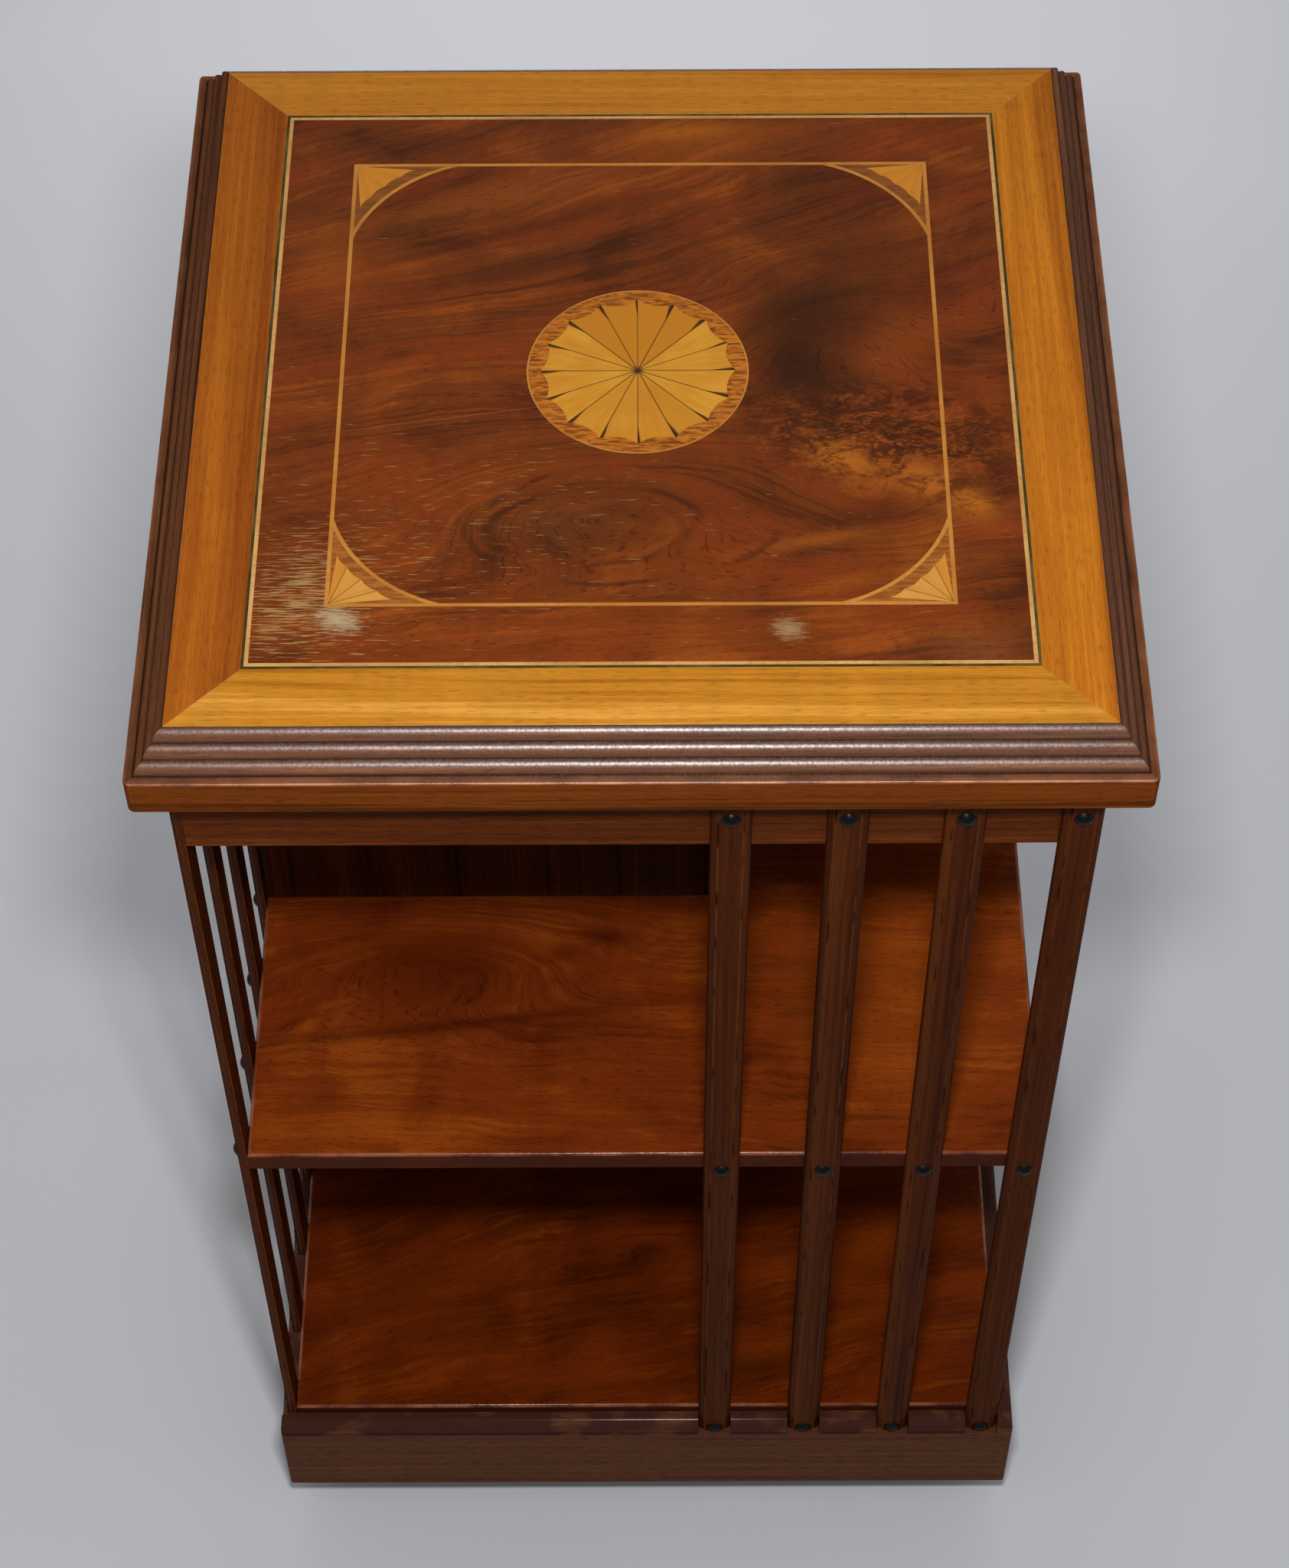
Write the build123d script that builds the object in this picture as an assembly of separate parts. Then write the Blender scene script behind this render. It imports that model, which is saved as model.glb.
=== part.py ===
from build123d import *
import os
from math import asin, cos, radians, sin, sqrt

# A square two-tier revolving bookcase in mahogany with an inlaid top.
# Millimetres. The origin is on the floor under the pivot, Z is up and the front faces -Y.
# Every face is the front face turned a quarter about the pivot.

# Heights
glide_height = 6
bearer_height = 22
floor_gap = 34.5
skirt_height = 84
board_rise = 7
board_thickness = 16
bay_height = 303.5
frieze_height = 56.5
fascia_height = 21.5
moulding_drop = 19.5
veneer_thickness = 1
top_board_thickness = 20
carcase_top_thickness = 18

# Plan of the revolving case
carcase_half = 225
core_half = 39
divider_thickness = 9
frieze_thickness = 16
frieze_corner_radius = 0.8
board_edge_radius = 2.5
glue_gap = 0.2

# Slats and the studs that fix them
slats_per_face = 4
slat_width = 20.5
slat_thickness = 6
slat_panel_width = 12.2
slat_quirk_width = 0.5
slat_quirk_depth = 2.1
slat_shoulder = 4.6
slat_edge_thickness = 2
slat_toe = 0.55
stud_head_diameter = 9.9
stud_head_height = 3
stud_shank_diameter = 3.5
stud_hole_spare = 1
stud_mitre_margin = 0.5
stud_below_board = 0.25
shank_clearance = 0.05

# Top edge moulding: three reeds on a slope, a lip and a flat fascia
moulding_run = 19.8
reed_count = 3
reed_rise = 1.75
lip_width = 4.3
lip_step = 0.9
lip_quirk_width = 1
lip_radius = 1
top_corner_radius = 4

# Skirt round the foot of the case
skirt_projection = 10.5
skirt_thickness = 22
skirt_bead_height = 11
skirt_bead_setback = 6
skirt_bead_flat = 3.5
skirt_quirk_height = 2.5
skirt_quirk_depth = 1.9
skirt_arris = 0.5
skirt_corner_radius = 2.5
slat_socket_clearance = 0.15

# Inlay of the top
banding_width = 34.3
dark_line_width = 1.5
light_line_width = 2
inner_line_inset = 34.4
inner_line_width = 2
fan_leg = 50.4
fan_depth = 27.5
fan_line_width = 2
fan_ground_width = 5.1
fan_scallop = 1.2
fan_fold_angles = (5, 19, 45, 71, 85)
fan_toe = 3
medallion_radius = 56.6
medallion_rim_width = 0.9
medallion_petals = 16
medallion_ground_width = 5.7
medallion_scallop = 3.5
medallion_offset = (-1.4, 1.6)

# Pivot and the fixed foot
post_diameter = 25
spigot_shoulder = 4.5
shoulder_gap = 5
running_clearance = 0.06
end_play = 0.3
shelf_hole_margin = 3
bush_wall = 5.5
bush_flange_margin = 8
bush_flange_thickness = 3
cup_wall = 8
cup_plate_margin = 14
cup_plate_thickness = 4
cup_bore_depth = 18
flange_boss_wall = 8.5
flange_boss_height = 20
flange_rim = 24
flange_thickness = 6
flange_screw_head_diameter = 9
flange_screw_head_height = 2.5
flange_screw_shank_diameter = 4
flange_screw_length = 14
bearer_end_gap = 15.5
bearer_width = 50
glide_diameter = 30
glide_inset = 18
glide_dome = 3

# Levels and half widths that follow from the sizes above
skirt_top = floor_gap + skirt_height
base_board_top = skirt_top + board_rise
base_board_bottom = base_board_top - board_thickness
shelf_bottom = base_board_top + bay_height
shelf_top = shelf_bottom + board_thickness
frieze_bottom = shelf_top + bay_height
fascia_bottom = frieze_bottom + frieze_height
fascia_top = fascia_bottom + fascia_height
top_height = fascia_top + moulding_drop
veneer_bottom = top_height - veneer_thickness
top_board_bottom = veneer_bottom - top_board_thickness
carcase_top_bottom = top_board_bottom - carcase_top_thickness
bearer_top = glide_height + bearer_height
moulding_inner = carcase_half + glue_gap
top_half = moulding_inner + moulding_run
banding_inner = moulding_inner - banding_width
light_line_outer = banding_inner - dark_line_width
field_half = light_line_outer - light_line_width
inner_line_half = field_half - inner_line_inset
panel_half = inner_line_half - inner_line_width
fan_arc_offset = (fan_leg**2 - fan_depth**2) / (2 * (fan_leg - sqrt(2) * fan_depth))
fan_arc_radius = sqrt(2) * fan_arc_offset - fan_depth
fan_tip_radius = fan_arc_radius + fan_line_width / 2 + fan_ground_width
medallion_tip_radius = medallion_radius - medallion_rim_width - medallion_ground_width
medallion_valley_radius = medallion_tip_radius - medallion_scallop
skirt_half = carcase_half + skirt_projection
slat_face = carcase_half + slat_thickness
first_slat = core_half + divider_thickness / 2
last_slat = carcase_half - slat_width / 2
slat_pitch = (last_slat - first_slat) / (slats_per_face - 1)
slat_places = [first_slat + slat_pitch * i for i in range(slats_per_face)]
upper_studs = frieze_bottom + frieze_height / 2
middle_studs = shelf_bottom + board_thickness / 2
lower_studs = base_board_bottom - stud_shank_diameter / 2 - stud_below_board
slat_foot = lower_studs - stud_head_diameter / 2 - slat_toe
stud_grip = carcase_half - last_slat - stud_shank_diameter / 2 - stud_mitre_margin
bush_bore = post_diameter + 2 * running_clearance
bush_diameter = bush_bore + 2 * bush_wall
cup_plate_bottom = carcase_top_bottom - cup_plate_thickness
cup_mouth = cup_plate_bottom - cup_bore_depth
spigot_diameter = post_diameter - 2 * spigot_shoulder
cup_boss_diameter = spigot_diameter + 2 * cup_wall
flange_boss_diameter = post_diameter + 2 * flange_boss_wall
flange_diameter = flange_boss_diameter + 2 * flange_rim
flange_screw_reach = (flange_boss_diameter + flange_rim) / 2
flange_screw_grip = flange_screw_length - flange_thickness
bearer_half_length = skirt_half - skirt_thickness - bearer_end_gap

sides = ("front", "right", "back", "left")
tall = 2 * top_height
cut_margin = 1
arc_middle = sin(radians(45))


def turned(shape, quarter):
    """The shape turned from the front face to the face that many quarters round."""
    return Rot(0, 0, 90 * quarter) * shape


def block(x0, x1, y0, y1, z0, z1):
    """A square-edged block between the given limits."""
    return Pos(x0, y0, z0) * Box(x1 - x0, y1 - y0, z1 - z0, align=Align.MIN)


def plate(face, z0, z1):
    """A flat outline drawn on the ground plane, raised between two levels."""
    return extrude(Pos(0, 0, z0) * face, amount=z1 - z0)


def drill(diameter, length):
    """A drill along +Z that starts at the origin."""
    return Cylinder(diameter / 2, length, align=(Align.CENTER, Align.CENTER, Align.MIN))


def side_wedge(reach):
    """The quarter of the plan that belongs to the front, cut at 45 degrees for the mitres."""
    outline = Polyline((0, 0), (-reach, -reach), (reach, -reach), close=True)
    return plate(make_face(outline), -cut_margin, tall)


def mitred_length(section, half, corner_radius):
    """A moulding of the given end section along the front face, mitred at both ends."""
    length = extrude(section, amount=half, both=True)
    corner = plate(RectangleRounded(2 * half, 2 * half, corner_radius), -cut_margin, tall)
    return length & corner & side_wedge(half + cut_margin)


def standing(plane, edges):
    """An outline drawn flat, stood up on the given plane and filled."""
    return make_face([plane * edge for edge in edges])


def ring(outer_half, inner_half):
    """A flat square ring."""
    return Rectangle(2 * outer_half, 2 * outer_half) - Rectangle(2 * inner_half, 2 * inner_half)


def stud_hole():
    """A pilot hole bored in from the origin towards +Y."""
    return Rot(-90, 0, 0) * drill(stud_shank_diameter + 2 * shank_clearance, stud_grip)


# The inlaid top


def top_board():
    """The groundwork that carries the veneers."""
    half = moulding_inner
    return block(-half, half, -half, half, top_board_bottom, veneer_bottom)


def satinwood_banding():
    """Four bands of satinwood, mitred at the corners."""
    outline = [(-moulding_inner, -moulding_inner), (moulding_inner, -moulding_inner)]
    outline += [(banding_inner, -banding_inner), (-banding_inner, -banding_inner)]
    band = plate(make_face(Polyline(*outline, close=True)), veneer_bottom, top_height)
    return [turned(band, quarter) for quarter in range(4)]


def dark_line():
    """The dark line between the satinwood and the boxwood."""
    return plate(ring(banding_inner, light_line_outer), veneer_bottom, top_height)


def fan_outline(radius):
    """The corner of the panel that a fan fills, cut off by an arc that bulges to the corner."""
    leg = fan_arc_offset - sqrt(radius**2 - fan_arc_offset**2)
    square = Pos(leg / 2, leg / 2) * Rectangle(leg, leg)
    return square - Pos(fan_arc_offset, fan_arc_offset) * Circle(radius)


def fan_tip(angle):
    """The end of a fold of the fan, in the corner's own axes."""
    across, along = cos(radians(angle)), sin(radians(angle))
    nearest = fan_arc_offset * (across + along)
    distance = nearest - sqrt(nearest**2 - 2 * fan_arc_offset**2 + fan_tip_radius**2)
    return (distance * across, distance * along)


def petal(root, tip_a, valley, tip_b):
    """One petal, straight down its sides and hollow at its end."""
    outline = [Line(root, tip_a), ThreePointArc(tip_a, valley, tip_b), Line(tip_b, root)]
    return make_face(outline)


def fan_petal_faces():
    """The petals of one corner fan. The outer two lie along the line for a short way."""
    tips = [fan_tip(angle) for angle in fan_fold_angles]
    petals = []
    for a, b in zip(tips, tips[1:]):
        middle = ((a[0] + b[0]) / 2, (a[1] + b[1]) / 2)
        reach = sqrt(middle[0] ** 2 + middle[1] ** 2)
        hollow = (reach - fan_scallop) / reach
        petals.append(petal((0, 0), a, (middle[0] * hollow, middle[1] * hollow), b))
    petals[0] += make_face(Polyline((0, 0), (fan_toe, 0), tips[0], close=True))
    petals[-1] += make_face(Polyline((0, 0), tips[-1], (0, fan_toe), close=True))
    return petals


def fan_places():
    """Where the four corner fans lie."""
    return [Rot(0, 0, 90 * quarter) * Pos(-panel_half, -panel_half, 0) for quarter in range(4)]


def fan_petals():
    """The sand-shaded petals of the four corner fans."""
    return [
        plate(place * face, veneer_bottom, top_height)
        for place in fan_places()
        for face in fan_petal_faces()
    ]


def fan_grounds():
    """The walnut between the petals and the boxwood arc of each fan."""
    face = fan_outline(fan_arc_radius + fan_line_width / 2)
    for petal_face in fan_petal_faces():
        face -= petal_face
    return [plate(place * face, veneer_bottom, top_height) for place in fan_places()]


def medallion_place():
    """The centre of the medallion, laid a little off the middle of the top."""
    return Pos(medallion_offset[0], medallion_offset[1], 0)


def medallion_petal_faces():
    """The petals of the medallion, all meeting at its centre."""
    step = 360 / medallion_petals
    faces = []
    for i in range(medallion_petals):
        corners = []
        for angle, reach in (
            (i * step, medallion_tip_radius),
            ((i + 0.5) * step, medallion_valley_radius),
            ((i + 1) * step, medallion_tip_radius),
        ):
            corners.append((reach * cos(radians(angle)), reach * sin(radians(angle))))
        faces.append(petal((0, 0), *corners))
    return faces


def medallion_petal_pieces():
    """The sixteen sand-shaded petals of the medallion."""
    place = medallion_place()
    return [plate(place * face, veneer_bottom, top_height) for face in medallion_petal_faces()]


def medallion_ground():
    """The ring of figured walnut round the petals."""
    face = Circle(medallion_radius - medallion_rim_width)
    for petal_face in medallion_petal_faces():
        face -= petal_face
    return plate(medallion_place() * face, veneer_bottom, top_height)


def boxwood_lines():
    """The boxwood lines: two squares, the rim of the medallion and an arc for each fan."""
    inner_rim = Circle(medallion_radius - medallion_rim_width)
    faces = [
        ring(light_line_outer, field_half),
        ring(inner_line_half, panel_half),
        medallion_place() * (Circle(medallion_radius) - inner_rim),
    ]
    outside = fan_outline(fan_arc_radius - fan_line_width / 2)
    arc = outside - fan_outline(fan_arc_radius + fan_line_width / 2)
    faces += [place * arc for place in fan_places()]
    return [plate(face, veneer_bottom, top_height) for face in faces]


def field_veneer():
    """The mahogany veneer, inside and outside the inner line."""
    panel = Rectangle(2 * panel_half, 2 * panel_half)
    panel -= medallion_place() * Circle(medallion_radius)
    for place in fan_places():
        panel -= place * fan_outline(fan_arc_radius - fan_line_width / 2)
    border = ring(field_half, inner_line_half)
    return [plate(face, veneer_bottom, top_height) for face in (border, panel)]


def edge_moulding():
    """The reeded moulding and fascia along the front edge of the top."""
    lip_inner = top_half - lip_width
    lip_top = fascia_top
    run = (lip_inner - lip_quirk_width - moulding_inner) / reed_count
    drop = (top_height - lip_top + lip_step) / reed_count
    slope = sqrt(run**2 + drop**2)
    edges = []
    for i in range(reed_count):
        start = (-(moulding_inner + run * i), top_height - drop * i)
        end = (-(moulding_inner + run * (i + 1)), top_height - drop * (i + 1))
        middle = (
            (start[0] + end[0]) / 2 - reed_rise * drop / slope,
            (start[1] + end[1]) / 2 + reed_rise * run / slope,
        )
        edges.append(ThreePointArc(start, middle, end))
    turn = lip_radius * (1 - arc_middle)
    edges += [
        Line(end, (-lip_inner, lip_top - lip_step)),
        Line((-lip_inner, lip_top - lip_step), (-lip_inner, lip_top)),
        Line((-lip_inner, lip_top), (-(top_half - lip_radius), lip_top)),
        ThreePointArc(
            (-(top_half - lip_radius), lip_top),
            (-(top_half - turn), lip_top - turn),
            (-top_half, lip_top - lip_radius),
        ),
        Line((-top_half, lip_top - lip_radius), (-top_half, fascia_bottom)),
        Line((-top_half, fascia_bottom), (-moulding_inner, fascia_bottom)),
        Line((-moulding_inner, fascia_bottom), (-moulding_inner, top_height)),
    ]
    return mitred_length(standing(Plane.YZ, edges), top_half, top_corner_radius)


# The revolving case


def carcase_top():
    """The board over the upper bays, screwed up under the top board."""
    half = carcase_half
    return block(-half, half, -half, half, carcase_top_bottom, top_board_bottom)


def frieze():
    """The rail under the top along the front face, bored for the slat studs."""
    inner = carcase_half - frieze_thickness
    outline = [(-carcase_half, frieze_bottom), (-inner, frieze_bottom)]
    outline += [(-inner, carcase_top_bottom), (-carcase_half, carcase_top_bottom)]
    section = standing(Plane.YZ, [Polyline(*outline, close=True)])
    rail = mitred_length(section, carcase_half, frieze_corner_radius)
    for place in slat_places:
        rail -= Pos(place, -carcase_half, upper_studs) * stud_hole()
    return rail


def divider(bottom, top, rail_bottom):
    """An upright panel from the front face in to the next divider, notched behind the frieze."""
    panel = block(core_half, core_half + divider_thickness, -carcase_half, core_half, bottom, top)
    if rail_bottom < top:
        inner = frieze_thickness - carcase_half
        panel -= block(core_half, core_half + divider_thickness, -carcase_half, inner, rail_bottom, top)
    return panel


def shelf_board(bottom):
    """A square board whose upper arris is rounded."""
    half = carcase_half
    board = block(-half, half, -half, half, bottom, bottom + board_thickness)
    return fillet(board.edges().group_by(Axis.Z)[-1], board_edge_radius)


def middle_shelf():
    """The shelf between the two tiers, with a clear hole for the post."""
    board = shelf_board(shelf_bottom)
    board = fillet(board.edges().group_by(Axis.Z)[0], board_edge_radius)
    for quarter in range(4):
        for place in slat_places:
            hole = Pos(place, -carcase_half, middle_studs) * stud_hole()
            board -= turned(hole, quarter)
    hole = drill(post_diameter + 2 * shelf_hole_margin, board_thickness)
    return board - Pos(0, 0, shelf_bottom) * hole


def base_board():
    """The board under the lower bays, let into the skirt and bored for the bush."""
    board = shelf_board(base_board_bottom)
    hole = drill(bush_diameter, board_thickness)
    return board - Pos(0, 0, base_board_bottom) * hole


def slat():
    """A moulded slat up the front face, centred on X = 0: a raised panel with rounded edges."""
    half, panel = slat_width / 2, slat_panel_width / 2
    quirk = panel + slat_quirk_width
    back, face = -carcase_half, -slat_face
    edge = back - slat_edge_thickness
    shoulder = back - slat_shoulder
    bend = (quirk + (half - quirk) * arc_middle, edge + (shoulder - edge) * arc_middle)
    groove = [
        (quirk, shoulder),
        (quirk, face + slat_quirk_depth),
        (panel, face + slat_quirk_depth),
        (panel, face),
    ]
    mirrored = [(-x, y) for x, y in reversed(groove)]
    outline = [
        Line((half, back), (half, edge)),
        ThreePointArc((half, edge), bend, groove[0]),
        Polyline(*groove, *mirrored),
        ThreePointArc(mirrored[-1], (-bend[0], bend[1]), (-half, edge)),
        Polyline((-half, edge), (-half, back), (half, back)),
    ]
    shape = plate(make_face(outline), slat_foot, fascia_bottom)
    bit = Rot(-90, 0, 0) * drill(stud_shank_diameter + 2 * shank_clearance, slat_thickness)
    for level in (upper_studs, middle_studs, lower_studs):
        shape -= Pos(0, -slat_face, level) * bit
    return shape


def slat_stud():
    """A dome-headed stud pointing into the front face, its head's seat at the origin."""
    radius = stud_head_diameter / 2
    dome = (radius**2 + stud_head_height**2) / (2 * stud_head_height)
    halfway = asin(radius / dome) / 2
    shoulder = (dome * sin(halfway), stud_head_height - dome * (1 - cos(halfway)))
    cap = [
        Line((0, 0), (radius, 0)),
        ThreePointArc((radius, 0), shoulder, (0, stud_head_height)),
        Line((0, stud_head_height), (0, 0)),
    ]
    head = revolve(standing(Plane.XZ, cap), axis=Axis.Z)
    length = slat_thickness + stud_grip - stud_hole_spare
    shank = Pos(0, 0, -length) * drill(stud_shank_diameter, length)
    return Rot(90, 0, 0) * (head + shank)


def slat_studs(level):
    """One row of studs right round the case, one through each slat."""
    stud = slat_stud()
    return [
        turned(Pos(place, -slat_face, level) * stud, quarter)
        for quarter in range(4)
        for place in slat_places
    ]


def skirt():
    """The moulded skirt along the front of the foot, rebated for the base board."""
    out = skirt_half
    inner = out - skirt_thickness
    bead_bottom = skirt_top - skirt_bead_height
    flat_top = bead_bottom - skirt_quirk_height
    bead_face = out - skirt_arris
    bead_shoulder = bead_bottom + skirt_bead_flat
    bead_start = out - skirt_bead_setback
    rebate = carcase_half + glue_gap
    bend = (
        bead_start + (bead_face - bead_start) * arc_middle,
        bead_shoulder + (skirt_top - bead_shoulder) * arc_middle,
    )
    lower = [
        (inner, floor_gap),
        (out - skirt_arris, floor_gap),
        (out, floor_gap + skirt_arris),
        (out, flat_top),
        (out - skirt_quirk_depth, flat_top),
        (out - skirt_quirk_depth, bead_bottom),
        (bead_face, bead_bottom),
        (bead_face, bead_shoulder),
    ]
    upper = [
        (bead_start, skirt_top),
        (rebate, skirt_top),
        (rebate, base_board_bottom),
        (inner, base_board_bottom),
        (inner, floor_gap),
    ]
    outward = [[(-o, z) for o, z in points] for points in (lower, upper)]
    edges = [
        Polyline(*outward[0]),
        ThreePointArc(outward[0][-1], (-bend[0], bend[1]), outward[1][0]),
        Polyline(*outward[1]),
    ]
    board = mitred_length(standing(Plane.YZ, edges), out, skirt_corner_radius)
    socket_half = slat_width / 2 + slat_socket_clearance
    socket = block(-socket_half, socket_half, -out - cut_margin, -carcase_half, slat_foot, skirt_top)
    for place in slat_places:
        board -= Pos(place, 0, 0) * socket
        board -= Pos(place, -carcase_half, lower_studs) * stud_hole()
    return board


# The pivot and the foot


def lower_bush():
    """A flanged brass bush in the base board that runs on the post."""
    flange_bottom = base_board_bottom - bush_flange_thickness
    flange = drill(bush_diameter + 2 * bush_flange_margin, bush_flange_thickness)
    sleeve = drill(bush_diameter, bush_flange_thickness + board_thickness)
    bore = drill(bush_bore, bush_flange_thickness + board_thickness)
    return Pos(0, 0, flange_bottom) * (flange + sleeve - bore)


def pivot_cup():
    """The cup under the carcase top that hangs the case on the head of the post."""
    cup_plate = drill(cup_boss_diameter + 2 * cup_plate_margin, cup_plate_thickness)
    cup = Pos(0, 0, cup_plate_bottom) * cup_plate
    cup += Pos(0, 0, cup_mouth) * drill(cup_boss_diameter, cup_bore_depth)
    bore = drill(spigot_diameter + 2 * running_clearance, cup_bore_depth)
    return cup - Pos(0, 0, cup_mouth) * bore


def pivot_post():
    """The steel post, stood on the bearers and turned down at its head."""
    shoulder = cup_mouth - shoulder_gap
    spigot_top = cup_plate_bottom - end_play
    post = Pos(0, 0, bearer_top) * drill(post_diameter, shoulder - bearer_top)
    return post + Pos(0, 0, shoulder) * drill(spigot_diameter, spigot_top - shoulder)


def flange_screw_places():
    """Where the four screws of the post flange stand, along the arms of the cross."""
    return [Rot(0, 0, 90 * i) * Pos(flange_screw_reach, 0, bearer_top) for i in range(4)]


def post_flange():
    """The iron flange that holds the post upright on the cross."""
    flange = drill(flange_diameter, flange_thickness)
    flange += drill(flange_boss_diameter, flange_thickness + flange_boss_height)
    flange -= drill(post_diameter + 2 * shank_clearance, flange_thickness + flange_boss_height)
    flange = Pos(0, 0, bearer_top) * flange
    bit = drill(flange_screw_shank_diameter + 2 * shank_clearance, flange_thickness)
    for place in flange_screw_places():
        flange -= place * bit
    return flange


def flange_screws():
    """Four wood screws through the flange into the bearers."""
    screw = Pos(0, 0, flange_thickness) * drill(flange_screw_head_diameter, flange_screw_head_height)
    screw += Pos(0, 0, -flange_screw_grip) * drill(flange_screw_shank_diameter, flange_screw_length)
    return [place * screw for place in flange_screw_places()]


def bearer(halving_bottom, halving_top):
    """One arm of the cross under the case, halved over the other and bored for the screws."""
    half = bearer_half_length
    arm = block(-half, half, -bearer_width / 2, bearer_width / 2, glide_height, bearer_top)
    cut = bearer_width / 2
    arm -= block(-cut, cut, -cut, cut, halving_bottom, halving_top)
    bit = drill(flange_screw_shank_diameter + 2 * shank_clearance, flange_screw_grip)
    for place in flange_screw_places():
        arm -= place * Pos(0, 0, -flange_screw_grip) * bit
    return arm


def glides():
    """Four domed glides under the ends of the bearers."""
    radius = glide_diameter / 2
    section = [
        Polyline((0, 0), (radius - glide_dome, 0)),
        ThreePointArc(
            (radius - glide_dome, 0),
            (radius - glide_dome * (1 - arc_middle), glide_dome * (1 - arc_middle)),
            (radius, glide_dome),
        ),
        Polyline((radius, glide_dome), (radius, glide_height), (0, glide_height), (0, 0)),
    ]
    glide = revolve(standing(Plane.XZ, section), axis=Axis.Z)
    reach = bearer_half_length - glide_inset
    return [Rot(0, 0, 90 * quarter) * Pos(reach, 0, 0) * glide for quarter in range(4)]


def all_parts():
    """Every separate piece by name."""
    parts = {
        "top_board": top_board(),
        "field_veneer": field_veneer(),
        "satinwood_banding": satinwood_banding(),
        "dark_line": dark_line(),
        "boxwood_lines": boxwood_lines(),
        "fan_grounds": fan_grounds(),
        "fan_petals": fan_petals(),
        "medallion_ground": medallion_ground(),
        "medallion_petals": medallion_petal_pieces(),
        "carcase_top": carcase_top(),
        "middle_shelf": middle_shelf(),
        "base_board": base_board(),
        "slat_studs_upper": slat_studs(upper_studs),
        "slat_studs_middle": slat_studs(middle_studs),
        "slat_studs_lower": slat_studs(lower_studs),
        "lower_bush": lower_bush(),
        "pivot_cup": pivot_cup(),
        "pivot_post": pivot_post(),
        "post_flange": post_flange(),
        "flange_screws": flange_screws(),
        "cross_bearer_side": bearer((glide_height + bearer_top) / 2, bearer_top),
        "cross_bearer_front": turned(bearer(glide_height, (glide_height + bearer_top) / 2), 1),
        "glides": glides(),
    }
    moulding, rail, foot = edge_moulding(), frieze(), skirt()
    upper = divider(shelf_top, carcase_top_bottom, frieze_bottom)
    lower = divider(base_board_top, shelf_bottom, shelf_bottom)
    strip = slat()
    for quarter, side in enumerate(sides):
        parts["edge_moulding_" + side] = turned(moulding, quarter)
        parts["frieze_" + side] = turned(rail, quarter)
        parts["skirt_" + side] = turned(foot, quarter)
        parts["divider_upper_" + side] = turned(upper, quarter)
        parts["divider_lower_" + side] = turned(lower, quarter)
        for i, place in enumerate(slat_places):
            name = "slat_" + side + "_" + str(i + 1)
            parts[name] = turned(Pos(place, 0, 0) * strip, quarter)
    return parts


def gathered(piece):
    """A group of like pieces as one shape of separate solids."""
    return Compound(children=piece) if isinstance(piece, list) else piece


os.makedirs("parts", exist_ok=True)
for node, piece in all_parts().items():
    export_step(gathered(piece), "parts/" + node + ".step")
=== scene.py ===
import math

import bmesh
import bpy
from mathutils import Matrix, Vector


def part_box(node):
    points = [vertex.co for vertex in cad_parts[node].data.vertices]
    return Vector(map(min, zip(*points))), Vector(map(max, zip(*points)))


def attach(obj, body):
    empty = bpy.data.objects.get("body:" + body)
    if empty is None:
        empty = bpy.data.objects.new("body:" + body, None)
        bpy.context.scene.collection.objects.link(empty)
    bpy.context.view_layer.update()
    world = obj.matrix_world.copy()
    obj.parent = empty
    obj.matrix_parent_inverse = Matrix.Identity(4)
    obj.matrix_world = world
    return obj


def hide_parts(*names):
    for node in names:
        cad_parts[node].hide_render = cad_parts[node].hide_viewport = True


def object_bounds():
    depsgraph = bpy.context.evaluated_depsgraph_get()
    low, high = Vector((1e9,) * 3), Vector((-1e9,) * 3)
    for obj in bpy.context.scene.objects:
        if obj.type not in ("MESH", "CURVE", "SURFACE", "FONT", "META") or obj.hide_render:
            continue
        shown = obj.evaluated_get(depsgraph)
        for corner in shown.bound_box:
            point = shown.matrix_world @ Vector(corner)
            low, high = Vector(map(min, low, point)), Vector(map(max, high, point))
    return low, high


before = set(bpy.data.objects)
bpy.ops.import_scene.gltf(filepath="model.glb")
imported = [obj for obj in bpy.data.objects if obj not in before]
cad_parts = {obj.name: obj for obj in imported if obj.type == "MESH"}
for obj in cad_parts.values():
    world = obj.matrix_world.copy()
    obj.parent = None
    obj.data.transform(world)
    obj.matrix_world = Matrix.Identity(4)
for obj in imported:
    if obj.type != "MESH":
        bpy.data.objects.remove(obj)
cad_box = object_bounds()

# The camera
# The photograph looks down on the front of the bookcase from above head height.
# Its place and lens follow from the corners of the top and of the skirt.
mm = 0.001
eye = Vector((4.6, -1192.3, 2115.5)) * mm
look_down = math.radians(53.70)
look_left = math.radians(0.19)
lean = math.radians(-0.39)

lens = bpy.data.cameras.new("camera")
lens.lens = 77.99
lens.sensor_width = 36
camera = bpy.data.objects.new("camera", lens)
camera.matrix_world = (
    Matrix.Translation(eye)
    @ Matrix.Rotation(look_left, 4, "Z")
    @ Matrix.Rotation(math.pi / 2 - look_down, 4, "X")
    @ Matrix.Rotation(lean, 4, "Z")
)
bpy.context.scene.collection.objects.link(camera)
bpy.context.scene.camera = camera
bpy.context.scene.view_settings.view_transform = "Standard"

# The floor and the light
# A plain pale floor, an even pale room, one soft lamp in front of and above the top, where
# the photograph's shadows on the shelves put it, and a weak wide one for the far sides.
room_level = 0.32
lamps = {
    "soft lamp": {"place": (20, -900, 1940), "power": 17.5, "size": (0.14, 0.1)},
    "fill lamp": {"place": (0, 1700, 800), "power": 10, "size": (1.4, 0.9)},
}
floor_reach = 4


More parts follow.
